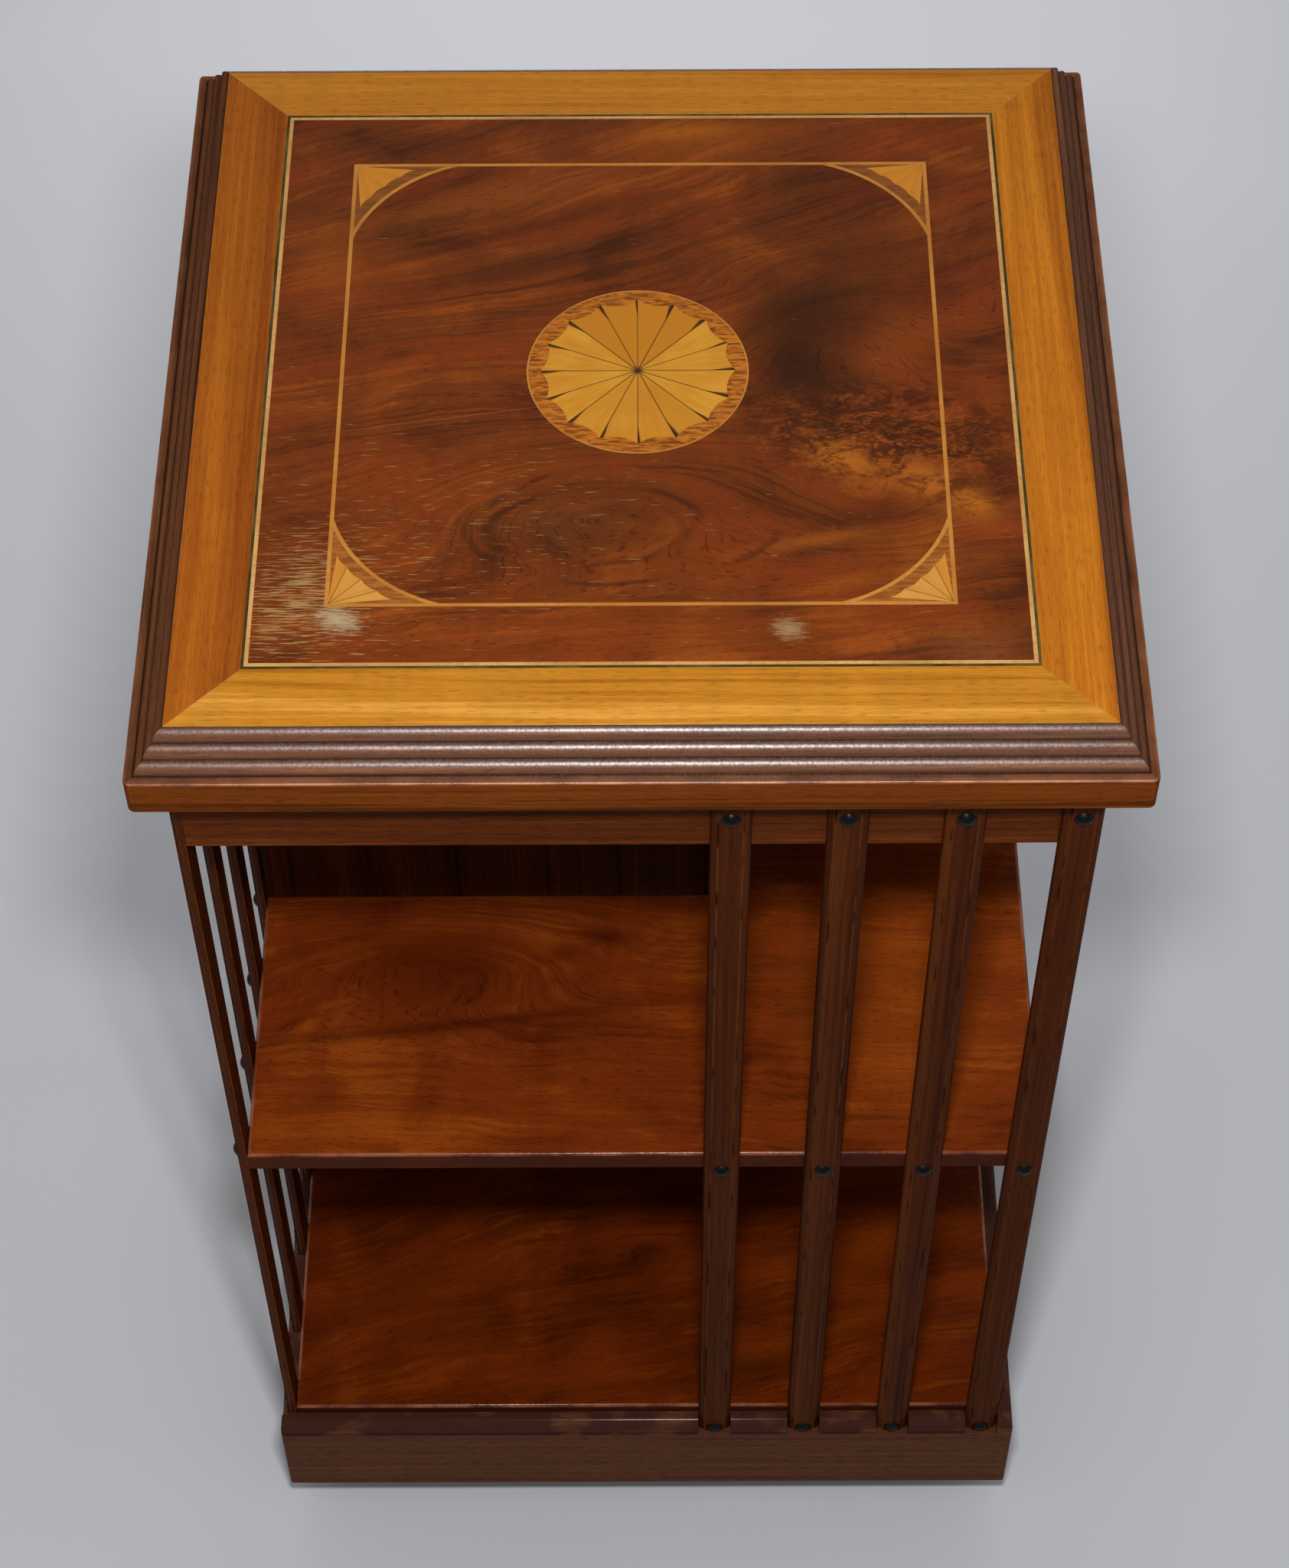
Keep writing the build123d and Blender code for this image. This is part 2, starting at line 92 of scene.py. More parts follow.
def paint(red, green, blue):
    """A colour as it is read off a screen, 0 to 255, turned into the light that it gives."""
    levels = [part / 255 for part in (red, green, blue)]
    return [p / 12.92 if p < 0.04045 else ((p + 0.055) / 1.055) ** 2.4 for p in levels] + [1]


def add(tree, kind, inputs=(), **settings):
    """Adds a node, sets it up, and gives its inputs their values or their wires."""
    node = tree.nodes.new("ShaderNode" + kind)
    for name, value in settings.items():
        setattr(node, name, value)
    for socket, value in dict(inputs).items():
        if isinstance(value, bpy.types.NodeSocket):
            tree.links.new(value, node.inputs[socket])
        else:
            node.inputs[socket].default_value = value
    return node


def noise(tree, place, scale=1.0, detail=2.0, roughness=0.5, wobble=0.0):
    """Soft random blotches, around a half."""
    inputs = {"Vector": place, "Scale": scale, "Detail": detail}
    inputs |= {"Roughness": roughness, "Distortion": wobble}
    return add(tree, "TexNoise", inputs).outputs[0]


def ease(tree, value, low, high, start=0.0, end=1.0):
    """A soft step from start to end as the value goes from low to high."""
    inputs = {0: value, 1: low, 2: high, 3: start, 4: end}
    return add(tree, "MapRange", inputs, interpolation_type="SMOOTHSTEP").outputs[0]


def tint(tree, share, under, over, way="MIX"):
    """Lays one colour over another by a share."""
    node = add(tree, "Mix", {0: share, 6: under, 7: over}, data_type="RGBA", blend_type=way)
    return node.outputs[2]


def own_place(tree):
    """The place on the object, in metres."""
    return add(tree, "TexCoord").outputs["Object"]


def start_finish(name, **surface):
    """A new material whose Principled surface has these plain values."""
    finish = bpy.data.materials.new(name)
    finish.use_nodes = True
    tree = finish.node_tree
    tree.nodes.clear()
    inputs = {socket.replace("_", " "): value for socket, value in surface.items()}
    shader = add(tree, "BsdfPrincipled", inputs)
    add(tree, "OutputMaterial", {"Surface": shader.outputs[0]})
    return finish, tree, shader.inputs


room = bpy.data.worlds.new("room")
room.use_nodes = True
inputs = room.node_tree.nodes["Background"].inputs
inputs[0].default_value = (1, 1, 1, 1)
inputs[1].default_value = room_level
bpy.context.scene.world = room

for name, given in lamps.items():
    glow = bpy.data.lights.new(name, "AREA")
    glow.shape = "RECTANGLE"
    glow.size, glow.size_y = given["size"]
    glow.energy = given["power"]
    lamp = bpy.data.objects.new(name, glow)
    place = Vector(given["place"]) * mm
    aim = (Vector((0, 0, cad_box[1][2])) - place).to_track_quat("-Z", "Y")
    lamp.matrix_world = Matrix.Translation(place) @ aim.to_matrix().to_4x4()
    lamp.visible_camera = False
    bpy.context.scene.collection.objects.link(lamp)

pale_floor, tree, surface = start_finish("pale floor", Specular_IOR_Level=0.2)
place = own_place(tree)
patches = noise(tree, place, 3, 3)
colour = tint(tree, patches, paint(208, 210, 216), paint(216, 218, 223))
tree.links.new(colour, surface["Base Color"])
tree.links.new(ease(tree, patches, 0.3, 0.7, 0.6, 0.7), surface["Roughness"])

mesh = bmesh.new()
bmesh.ops.create_grid(mesh, x_segments=4, y_segments=4, size=floor_reach)
data = bpy.data.meshes.new("floor")
mesh.to_mesh(data)
mesh.free()
data.materials.append(pale_floor)
floor = bpy.data.objects.new("floor", data)
bpy.context.scene.collection.objects.link(floor)

# The foot: two bearers on their glides
# Two flat arms of hardwood are halved across each other under the case and hardly show.
# They are sawn square, stained and dusty, and stand on four domed metal glides.
weld_distance = 0.002
flat_angle = 0.3
arris_angle = 40
crease_angle = 35
relief_depth = 0.6
pore_shade = (0.30, 0.25, 0.22, 1)
bearer_arris = 0.6
bearer_colours = ((112, 80, 54), (92, 62, 40), (64, 41, 26))
bearer_worn = (150, 120, 88)


def start_effect(name, takes, gives):
    """A new group of shader nodes, with the sockets of its two ends."""
    effect = bpy.data.node_groups.new(name, "ShaderNodeTree")
    for way, sockets in (("INPUT", takes), ("OUTPUT", gives)):
        for socket, kind in sockets.items():
            effect.interface.new_socket(socket, in_out=way, socket_type="NodeSocket" + kind)
    inside = effect.nodes.new("NodeGroupInput").outputs
    return effect, inside, effect.nodes.new("NodeGroupOutput").inputs


def maths(tree, operation, *values):
    """One step of arithmetic."""
    return add(tree, "Math", enumerate(values), operation=operation).outputs[0]


def product(tree, first, second, plus=None):
    """Two values multiplied, and a third one added."""
    if plus is None:
        return maths(tree, "MULTIPLY", first, second)
    return maths(tree, "MULTIPLY_ADD", first, second, plus)


def less(tree, first, second):
    """The first value less the second."""
    return maths(tree, "SUBTRACT", first, second)


def apart(tree, place):
    """A place as its three numbers."""
    return add(tree, "SeparateXYZ", {0: place}).outputs


def stretch(tree, place, along, across, through):
    """Scales a place along each of its axes."""
    inputs = {0: place, 1: (along, across, through)}
    return add(tree, "VectorMath", inputs, operation="MULTIPLY").outputs[0]


# The figure of a wood: growth lines that wander along the grain, streaks, ripple and pores.
takes = {"Place": "Vector", "Pale": "Color", "Middle": "Color", "Dark": "Color"}
takes |= dict.fromkeys(("Lines", "Wander", "Streaks", "Pores", "Ripple"), "Float")
gives = {"Color": "Color", "Pores": "Float"}
wood_figure, given, made = start_effect("wood figure", takes, gives)
tree = wood_figure
drift = noise(tree, stretch(tree, given["Place"], 1.6, 12, 12), 1, 3)
across = apart(tree, given["Place"])[1]
across = product(tree, drift, given["Wander"], plus=across)
inputs = {"W": across, "Scale": given["Lines"], "Detail": 3, "Roughness": 0.6}
growth = add(tree, "TexNoise", inputs, noise_dimensions="1D").outputs[0]
streak = noise(tree, stretch(tree, given["Place"], 9, 420, 420), 1, 2)
tone = add(tree, "Mix", {0: given["Streaks"], 2: growth, 3: streak}).outputs[0]
colour = tint(tree, ease(tree, tone, 0.34, 0.5), given["Dark"], given["Middle"])
colour = tint(tree, ease(tree, tone, 0.5, 0.68), colour, given["Pale"])
ripple = noise(tree, stretch(tree, given["Place"], 75, 10, 10), 1, 1)
ripple = product(tree, less(tree, ripple, 0.5), given["Ripple"], plus=1)
colour = add(tree, "VectorMath", {0: colour, "Scale": ripple}, operation="SCALE").outputs[0]
pores = ease(tree, noise(tree, stretch(tree, given["Place"], 130, 1500, 1500), 1, 0), 0.6, 0.68)
pores = product(tree, pores, given["Pores"])
colour = tint(tree, pores, colour, pore_shade, "MULTIPLY")
tree.links.new(colour, made["Color"])
tree.links.new(pores, made["Pores"])

# Old french polish: smears and specks in the gloss, a slight swell, and sunken pores.
takes = {"Place": "Vector"} | dict.fromkeys(("Gloss", "Haze", "Pores", "Swell"), "Float")
gives = {"Roughness": "Float", "Relief": "Float"}
french_polish, given, made = start_effect("french polish", takes, gives)
tree = french_polish
smear = less(tree, noise(tree, given["Place"], 14, 3), 0.5)
speck = less(tree, noise(tree, given["Place"], 330, 2), 0.5)
rough = product(tree, maths(tree, "ADD", smear, speck), given["Haze"], plus=given["Gloss"])
rough = product(tree, given["Pores"], 0.15, plus=rough)
swell = product(tree, noise(tree, given["Place"], 95, 2), given["Swell"])
relief = product(tree, given["Pores"], -0.35, plus=maths(tree, "ADD", swell, speck))
tree.links.new(rough, made["Roughness"])
tree.links.new(relief, made["Relief"])

# Wear along the arrises, where the paler wood shows through in runs. The same runs carry painted
# highlights on some arrises, and a darker tone on the skirt's.
takes = {"Color": "Color", "Arris tone": "Color", "Arris": "Float", "Place": "Vector", "Reach": "Float"}
arris_wear_and_highlight, given, made = start_effect("arris wear and highlight", takes, {"Color": "Color"})
tree = arris_wear_and_highlight
arris_runs = ease(tree, noise(tree, given["Place"], 38, 3), 0.36, 0.62)
arris_runs = product(tree, product(tree, arris_runs, given["Arris"]), given["Reach"])
tree.links.new(tint(tree, arris_runs, given["Color"], given["Arris tone"]), made["Color"])


def polish(tree, surface, colour, place, pores, gloss, haze=0.08, swell=0.4, bump=0.1):
    """Gives a surface its colour, its gloss and the slight unevenness of a rubbed polish."""
    tree.links.new(colour, surface["Base Color"])
    inputs = {"Place": place, "Gloss": gloss, "Haze": haze, "Pores": pores, "Swell": swell}
    uneven = add(tree, "Group", inputs, node_tree=french_polish).outputs
    tree.links.new(uneven["Roughness"], surface["Roughness"])
    inputs = {"Height": uneven["Relief"], "Strength": bump, "Distance": relief_depth * mm}
    tree.links.new(add(tree, "Bump", inputs).outputs[0], surface["Normal"])


def figured(tree, place, colours, **figure):
    """The colour and the pores of a straight-grained wood."""
    pale, middle, dark = [paint(*colour) for colour in colours]
    inputs = {"Place": place, "Pale": pale, "Middle": middle, "Dark": dark}
    inputs |= {socket.title(): value for socket, value in figure.items()}
    return add(tree, "Group", inputs, node_tree=wood_figure).outputs


def tint_arrises(tree, colour, worn, arris, place, reach):
    """Lets a colour show in runs along the arrises: wear, a painted highlight, or a darker tone,
    as each caller gives it.
    """
    worn = paint(*worn)
    inputs = {"Color": colour, "Arris tone": worn, "Arris": arris, "Place": place, "Reach": reach}
    return add(tree, "Group", inputs, node_tree=arris_wear_and_highlight).outputs["Color"]


def carried(tree, name, kind="Fac"):
    """What the mesh carries under this name."""
    return add(tree, "Attribute", attribute_name=name).outputs[kind]


def wood_finish(name, colours, worn, reach=0.5, gloss=0.3, haze=0.1, swell=0.5, shine=0.0,
                coat=0.09, **figure):
    """A polished wood, drawn along the grain that each piece carries."""
    finish, tree, surface = start_finish(
        name, Specular_IOR_Level=shine, Coat_Weight=coat, Coat_Roughness=0.1
    )
    place = carried(tree, "grain", "Vector")
    wood = figured(tree, place, colours, **figure)
    colour = tint_arrises(tree, wood["Color"], worn, carried(tree, "arris"), place, reach)
    polish(tree, surface, colour, place, wood["Pores"], gloss, haze, swell, bump=0.12)
    return finish


def cad_copy(node):
    """The CAD piece as a fresh mesh with whole faces."""
    mesh = bmesh.new()
    mesh.from_mesh(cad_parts[node].data)
    bmesh.ops.remove_doubles(mesh, verts=mesh.verts, dist=weld_distance * mm)
    limit = math.radians(flat_angle)
    bmesh.ops.dissolve_limit(mesh, angle_limit=limit, verts=mesh.verts, edges=mesh.edges)
    return mesh


def ease_arrises(mesh, width, edges=None):
    """Rubs down the sharp arrises and marks their faces, where polish wears off first."""
    layers = mesh.faces.layers.float
    arris = layers.get("arris") or layers.new("arris")
    if edges is None:
        limit = math.radians(arris_angle)
        edges = [e for e in mesh.edges if e.is_manifold and e.calc_face_angle() > limit]
    eased = bmesh.ops.bevel(
        mesh, geom=edges, offset=width * mm, affect="EDGES", segments=2, profile=0.5, material=-1,
        clamp_overlap=True,
    )
    for face in eased["faces"]:
        face[arris] = 1


def lay_grain(mesh, along, across, start):
    """Gives each point its place in the log: X along the grain, Y across it, Z through it."""
    layers = mesh.verts.layers.float_vector
    grain = layers.get("grain") or layers.new("grain")
    along, across = Vector(along), Vector(across)
    axes = Matrix((along, across, along.cross(across)))
    for point in mesh.verts:
        point[grain] = axes @ point.co + Vector(start)


def turn(mesh, quarter):
    """Turns a piece from the front face to the face that many quarters round."""
    matrix = Matrix.Rotation(quarter * math.pi / 2, 3, "Z")
    bmesh.ops.rotate(mesh, verts=mesh.verts, cent=(0, 0, 0), matrix=matrix)


def fit(mesh, name, finish, nodes, body="bookcase"):
    """Makes a mesh an object that rides on a body and stands for its CAD pieces."""
    data = bpy.data.meshes.new(name)
    mesh.to_mesh(data)
    mesh.free()
    if "custom_normal" in data.attributes:
        data.attributes.remove(data.attributes["custom_normal"])
    data.materials.append(finish)
    data.shade_smooth()
    data.set_sharp_from_angle(angle=math.radians(crease_angle))
    piece = bpy.data.objects.new(name, data)
    bpy.context.scene.collection.objects.link(piece)
    piece.modifiers.new("even normals", "WEIGHTED_NORMAL").keep_sharp = True
    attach(piece, body)
    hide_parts(*nodes)


stained_hardwood = wood_finish(
    "stained hardwood", bearer_colours, bearer_worn, gloss=0.55, haze=0.15, coat=0.05,
    lines=90, wander=0.02, streaks=0.4, pores=0.6, ripple=0.1,
)
for i, side in enumerate(("side", "front")):
    node = "cross_bearer_" + side
    mesh = cad_copy(node)
    ease_arrises(mesh, bearer_arris)
    along, across = ((1, 0, 0), (0, 1, 0)) if side == "side" else ((0, 1, 0), (1, 0, 0))
    lay_grain(mesh, along, across, (3.1 + i, 0.4, 0.7))
    fit(mesh, "bearer_" + side, stained_hardwood, [node], body="stand")


def metal_finish(name, pale, dark, gloss, haze, patches=40, bump=0.08, metallic=1.0, shine=0.5):
    """A metal whose colour and gloss vary a little, as handled or tarnished metal does."""
    finish, tree, surface = start_finish(name, Metallic=metallic, Specular_IOR_Level=shine)
    place = own_place(tree)
    tarnish = ease(tree, noise(tree, place, patches, 4, 0.6), 0.35, 0.65)
    colour = tint(tree, tarnish, paint(*pale), paint(*dark))
    polish(tree, surface, colour, place, tarnish, gloss, haze, bump=bump)
    return finish


def refinish(node, finish):
    """Gives a CAD piece that keeps its own shape a better finish."""
    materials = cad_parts[node].data.materials
    materials.clear()
    materials.append(finish)


dull_steel = metal_finish("dull steel", (176, 176, 178), (140, 138, 136), 0.32, 0.12)
refinish("glides", dull_steel)

# The post, its flange and the four screws
# A turned steel post stands in an iron flange that is screwed down on the crossing of the
# bearers. The case hangs on its head and turns round it.
turned_steel = metal_finish(
    "turned steel", (190, 190, 192), (150, 149, 148), 0.26, 0.1, patches=70
)
black_iron = metal_finish(
    "black iron", (62, 60, 60), (40, 38, 38), 0.5, 0.15, patches=60, bump=0.2
)
refinish("pivot_post", turned_steel)
refinish("post_flange", black_iron)
refinish("flange_screws", black_iron)

# The bush and the base board
# The base board closes the lower bays and is let into the skirt all round. A flanged brass
# bush in its middle runs on the post.
board_half = 225
shelf_arris = 1.2
arris_ends = 0.3
crest_width = 2.4
crest_depth = 2
board_edge_shade = (48, 18, 6)
board_edge_worn_and_highlight = (164, 96, 69)
case_colours = ((82, 38, 12), (63, 27, 7), (42, 17, 4))
case_worn = (150, 92, 50)
lower_shelf_colours = ((118, 49, 6), (94, 34, 3), (72, 25, 3))
leaf_blush = (130, 50, 12)
leaf_pore_shade = (0.35, 0.28, 0.25, 1)

old_brass = metal_finish("old brass", (186, 150, 84), (138, 104, 56), 0.3, 0.12, patches=90)
refinish("lower_bush", old_brass)

case_mahogany = wood_finish(
    "case mahogany", case_colours, case_worn,
    lines=55, wander=0.03, streaks=0.35, pores=0.55, ripple=0.12,
)


def in_millimetres(tree, place):
    """A place in metres turned into millimetres."""
    return stretch(tree, place, 1 / mm, 1 / mm, 1 / mm)


def square_reach(tree, x, y):
    """How far out a place lies, measured along the nearer side of the square."""
    return maths(tree, "MAXIMUM", maths(tree, "ABSOLUTE", x), maths(tree, "ABSOLUTE", y))


def hill(tree, x, y, centre, size, turned=0.0):
    """A smooth round hill of height 1 over an oval of a board."""
    sine, cosine = math.sin(math.radians(turned)), math.cos(math.radians(turned))
    x = less(tree, x, centre[0])
    y = less(tree, y, centre[1])
    along = product(tree, x, cosine / size[0], plus=product(tree, y, sine / size[0]))
    over = product(tree, y, cosine / size[1], plus=product(tree, x, -sine / size[1]))
    square = product(tree, along, along, plus=product(tree, over, over))
    return maths(tree, "EXPONENT", product(tree, square, -1))


def figured_leaf(tree, place, colours, lean, spread, lines, streaks, hills, tints, fanning=0.0,
                 fines=0.5, contrast=0.115):
    """The figure of a wide leaf, in millimetres: it flows round the leaf's eyes and knots.

    Hills push the grain aside: centre, size, turn in degrees, and height. Tints lay a colour
    over an oval: centre, size, turn, share, and the colour.
    """
    pale, middle, dark = [paint(*colour) for colour in colours]
    x, y, _ = apart(tree, place)
    wander = less(tree, noise(tree, stretch(tree, place, 0.008, 0.022, 1), 1, 3), 0.5)
    slope = product(tree, ease(tree, y, -40, 110), fanning, plus=lean)
    level = product(tree, wander, spread, plus=product(tree, x, slope, plus=y))
    for centre, size, turned, height in hills:
        level = product(tree, hill(tree, x, y, centre, size, turned), height, plus=level)
    flow = add(tree, "CombineXYZ", {0: x, 1: level}).outputs[0]
    growth = noise(tree, stretch(tree, flow, 0.003, lines, 1), 1, 4, 0.6)
    streak = noise(tree, stretch(tree, flow, 0.014, 0.3, 1), 1, 4, 0.62)
    cloud = noise(tree, place, 0.017, 4, 0.55, 0.6)
    tone = add(tree, "Mix", {0: streaks, 2: growth, 3: streak}).outputs[0]
    tone = add(tree, "Mix", {0: 0.42, 2: tone, 3: cloud}).outputs[0]
    colour = tint(tree, ease(tree, tone, 0.5 - contrast, 0.5), dark, middle)
    colour = tint(tree, ease(tree, tone, 0.5, 0.5 + contrast), colour, pale)
    blush = noise(tree, stretch(tree, flow, 0.01, 0.03, 1), 1, 3)
    colour = tint(tree, ease(tree, blush, 0.45, 0.65, 0, 0.45), colour, paint(*leaf_blush))
    fine = ease(tree, noise(tree, stretch(tree, flow, 0.004, 0.2, 1), 1, 2, 0.7), 0.55, 0.66)
    drawn = ease(tree, noise(tree, place, 0.014, 2), 0.4, 0.6, 0, fines)
    colour = tint(tree, product(tree, fine, drawn), colour, dark)
    for centre, size, turned, share, shade in tints:
        share = product(tree, hill(tree, x, y, centre, size, turned), share)
        colour = tint(tree, share, colour, paint(*shade))
    pores = ease(tree, noise(tree, stretch(tree, flow, 0.16, 1.6, 1), 1, 1), 0.58, 0.68)
    shaded = tint(tree, product(tree, pores, 0.55), colour, leaf_pore_shade, "MULTIPLY")
    return shaded, pores, x, y


def board_finish(name, colours, level, **figure):
    """The polished mahogany of a wide board, with painted shade on its edge faces, and wear and a
    painted highlight along the rounding of its upper edge.
    """
    finish, tree, surface = start_finish(name, Specular_IOR_Level=0.0, Coat_Roughness=0.2)
    place = own_place(tree)
    leaf = in_millimetres(tree, place)
    colour, pores, x, y = figured_leaf(tree, leaf, colours, **figure)
    reach = square_reach(tree, x, y)
    # Painted shade: the edge faces of the board are drawn darker.
    edge = ease(tree, reach, board_half - shelf_arris, board_half - arris_ends, 0, 0.8)
    colour = tint(tree, edge, colour, paint(*board_edge_shade))
    z = apart(tree, leaf)[2]
    # Along the rounding of the upper edge: wear and a painted highlight.
    crest = ease(tree, reach, board_half - crest_width, board_half - crest_width + 1)
    crest = product(tree, crest, ease(tree, z, level - crest_depth, level - 0.9))
    colour = tint_arrises(tree, colour, board_edge_worn_and_highlight, crest, place, 0.6)
    sparkle = ease(tree, noise(tree, place, 500, 2), 0.4, 0.6, 0.3, 1)
    sparkle = product(tree, product(tree, crest, sparkle), 0.85, plus=0.12)
    tree.links.new(sparkle, surface["Coat Weight"])
    polish(tree, surface, colour, place, pores, 0.3, 0.1, swell=0.5, bump=0.12)
    return finish


def fit_board(node, name, finish):
    """A flat board of the case with rubbed edges."""
    mesh = cad_copy(node)
    ease_arrises(mesh, shelf_arris)
    lay_grain(mesh, (1, 0, 0), (0, 1, 0), (7, 2, 0.5))
    fit(mesh, name, finish, [node])


lower_shelf_mahogany = board_finish(
    "lower shelf mahogany", lower_shelf_colours, level=125.5,
    lean=-0.2, spread=34, lines=0.06, streaks=0.6, contrast=0.12,
    hills=[((-60, -60), (120, 60), 10, -25)],
    tints=[
        ((60, -40), (50, 50), 0, 0.35, (63, 20, 2)),
        ((150, -110), (70, 16), 22, 0.4, (141, 63, 9)),
        ((120, -170), (80, 9), 20, 0.4, (135, 59, 8)),
        ((-150, -150), (60, 30), 0, 0.25, (126, 51, 6)),
    ],
)
fit_board("base_board", "lower_shelf", lower_shelf_mahogany)

# The skirt
# Four moulded boards round the foot of the case: a plain face, a dark quirk and a rounded
# bead above it, socketed where the slats pass down behind the lowest studs.
skirt_arris = 0.35
skirt_colours = ((106, 64, 44), (94, 56, 37), (80, 45, 29))
skirt_dark_tone = (67, 37, 29)
bead_foot = 104
bead_darkening = 2
sides = ("front", "right", "back", "left")

skirt_mahogany = wood_finish(
    "skirt mahogany", skirt_colours, skirt_dark_tone, haze=0.12, swell=0.8, reach=0.9,
    lines=120, wander=0.012, streaks=0.45, pores=0.5, ripple=0.12,
)
for quarter, side in enumerate(sides):
    mesh = cad_copy("skirt_front")
    ease_arrises(mesh, skirt_arris)
    arris = mesh.faces.layers.float["arris"]
    # The bead's faces take the darker arris tone at double strength, so the bead is drawn darker.
    for face in mesh.faces:
        if face.calc_center_median().z > bead_foot * mm:
            face[arris] = bead_darkening
    lay_grain(mesh, (1, 0, 0), (0, 0, 1), (11 + 1.7 * quarter, 0.6 * quarter, 0.3))
    turn(mesh, quarter)
    node = "skirt_" + side
    fit(mesh, "skirt_board_" + side, skirt_mahogany, [node])

# The dividers
# Eight upright panels stand in a pinwheel round the post, four to a tier, and part each
# tier into four bays that open on the four faces.
board_arris = 0.4

for quarter, side in enumerate(sides):
    for i, tier in enumerate(("lower", "upper")):
        mesh = cad_copy("divider_" + tier + "_front")
        ease_arrises(mesh, board_arris)
        lay_grain(mesh, (0, 0, 1), (0, 1, 0), (21 + 2.3 * quarter, 1.1 * i, 0.9 * quarter))
        turn(mesh, quarter)
        node = "divider_" + tier + "_" + side
        fit(mesh, "panel_" + tier + "_" + side, case_mahogany, [node])

# The middle shelf
# A square board with rounded edges between the two tiers, bored clear of the post.
upper_shelf_colours = ((147, 68, 18), (117, 47, 12), (88, 32, 8))

upper_shelf_mahogany = board_finish(
    "upper shelf mahogany", upper_shelf_colours, level=445,
    lean=0.03, spread=30, lines=0.05, streaks=0.5, contrast=0.1,
    hills=[((-134, -92), (96, 40), 0, -56), ((-23, -78), (16, 7), 0, -12)],
    tints=[
        ((-134, -92), (84, 36), 0, 0.75, (84, 27, 4)),
        ((-23, -77), (17, 6), -10, 0.85, (66, 20, 4)),
        ((-48, -90), (14, 6), 20, 0.5, (84, 28, 3)),
        ((-100, -137), (110, 4), 7, 0.7, (66, 21, 3)),
        ((40, -60), (60, 22), 0, 0.3, (90, 32, 3)),
        ((80, -120), (160, 9), 2, 0.25, (98, 38, 5)),
        ((-160, -208), (90, 10), 3, 0.3, (162, 80, 18)),
        ((150, -120), (70, 80), 0, 0.35, (172, 82, 24)),
    ],
)
fit_board("middle_shelf", "upper_shelf", upper_shelf_mahogany)

# The frieze
# Four plain rails under the top, mitred at the corners. The slats are fixed to their faces.
frieze_arris = 0.4
frieze_colours = ((111, 54, 15), (89, 40, 10), (66, 27, 6))

frieze_mahogany = wood_finish(
    "frieze mahogany", frieze_colours, case_worn, gloss=0.28,
    lines=70, wander=0.02, streaks=0.4, pores=0.5, ripple=0.1,
)
for quarter, side in enumerate(sides):
    mesh = cad_copy("frieze_front")
    ease_arrises(mesh, frieze_arris)
    lay_grain(mesh, (1, 0, 0), (0, 0, 1), (31 + 1.9 * quarter, 0.8 * quarter, 0.1))
    turn(mesh, quarter)
    fit(mesh, "rail_" + side, frieze_mahogany, ["frieze_" + side])

# The slats
# Sixteen moulded strips, four to a face, run from the fascia down to the lowest studs and
# keep the books in. Each has a raised flat panel between two quirks and rounded edges.
slat_width = 20.5
slat_thickness = 6
slat_panel = 12.2
slat_quirk_width = 0.5
slat_quirk_depth = 2.1
slat_shoulder = 4.6
slat_edge = 2
slat_round = (7.049, 1.368)
crisp_angle = 60
join_distance = 0.01
slat_arris = 0.35
slat_back = 225
slat_places = (43.5, 100.583, 157.667, 214.75)
slat_colours = ((87, 41, 12), (71, 31, 8), (53, 21, 5))
slat_worn_and_highlight = (118, 63, 28)


def wire(mesh, points):
    """A run of straight edges through the points, as the start of a moulding's section."""
    line = [mesh.verts.new(Vector(point) * mm) for point in points]
    for a, b in zip(line, line[1:]):
        mesh.edges.new((a, b))
    return line


def bend(mesh, start, centre, angle, steps, axis):
    """Carries the section on from a point, round a centre."""
    arc = bmesh.ops.spin(
        mesh, geom=[start], cent=Vector(centre) * mm, axis=axis, angle=math.radians(angle),
        steps=steps,
    )
    return [item for item in arc["geom_last"] if isinstance(item, bmesh.types.BMVert)][0]


def raise_section(mesh, length):
    """Closes the section, fills it and draws it out to its length."""
    bmesh.ops.remove_doubles(mesh, verts=mesh.verts, dist=join_distance * mm)
    face = bmesh.ops.contextual_create(mesh, geom=mesh.edges[:])["faces"]
    drawn = bmesh.ops.extrude_face_region(mesh, geom=face)["geom"]
    ends = [item for item in drawn if isinstance(item, bmesh.types.BMVert)]
    bmesh.ops.translate(mesh, verts=ends, vec=Vector(length) * mm)
    bmesh.ops.recalc_face_normals(mesh, faces=mesh.faces)


# The slats' arrises are drawn paler: wear, and a painted highlight along them.
slat_mahogany = wood_finish(
    "slat mahogany", slat_colours, slat_worn_and_highlight, reach=1.8,
    lines=90, wander=0.006, streaks=0.4, pores=0.25, ripple=0.12,
)
slat_low, slat_high = [corner.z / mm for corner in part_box("slat_front_1")]
half, panel = slat_width / 2, slat_panel / 2
quirk = panel + slat_quirk_width
edge, face = -slat_back - slat_edge, -slat_back - slat_thickness
quirk_floor = face + slat_quirk_depth
front = [(quirk, -slat_back - slat_shoulder), (quirk, quirk_floor), (panel, quirk_floor)]
front.append((panel, face))
front += [(-x, y) for x, y in reversed(front)]
back = [(half, edge), (half, -slat_back), (-half, -slat_back), (-half, edge)]
middle, depth = slat_round
sweep = math.atan2(slat_shoulder - depth, quirk - middle)
sweep = math.degrees(sweep - math.atan2(slat_edge - depth, half - middle))
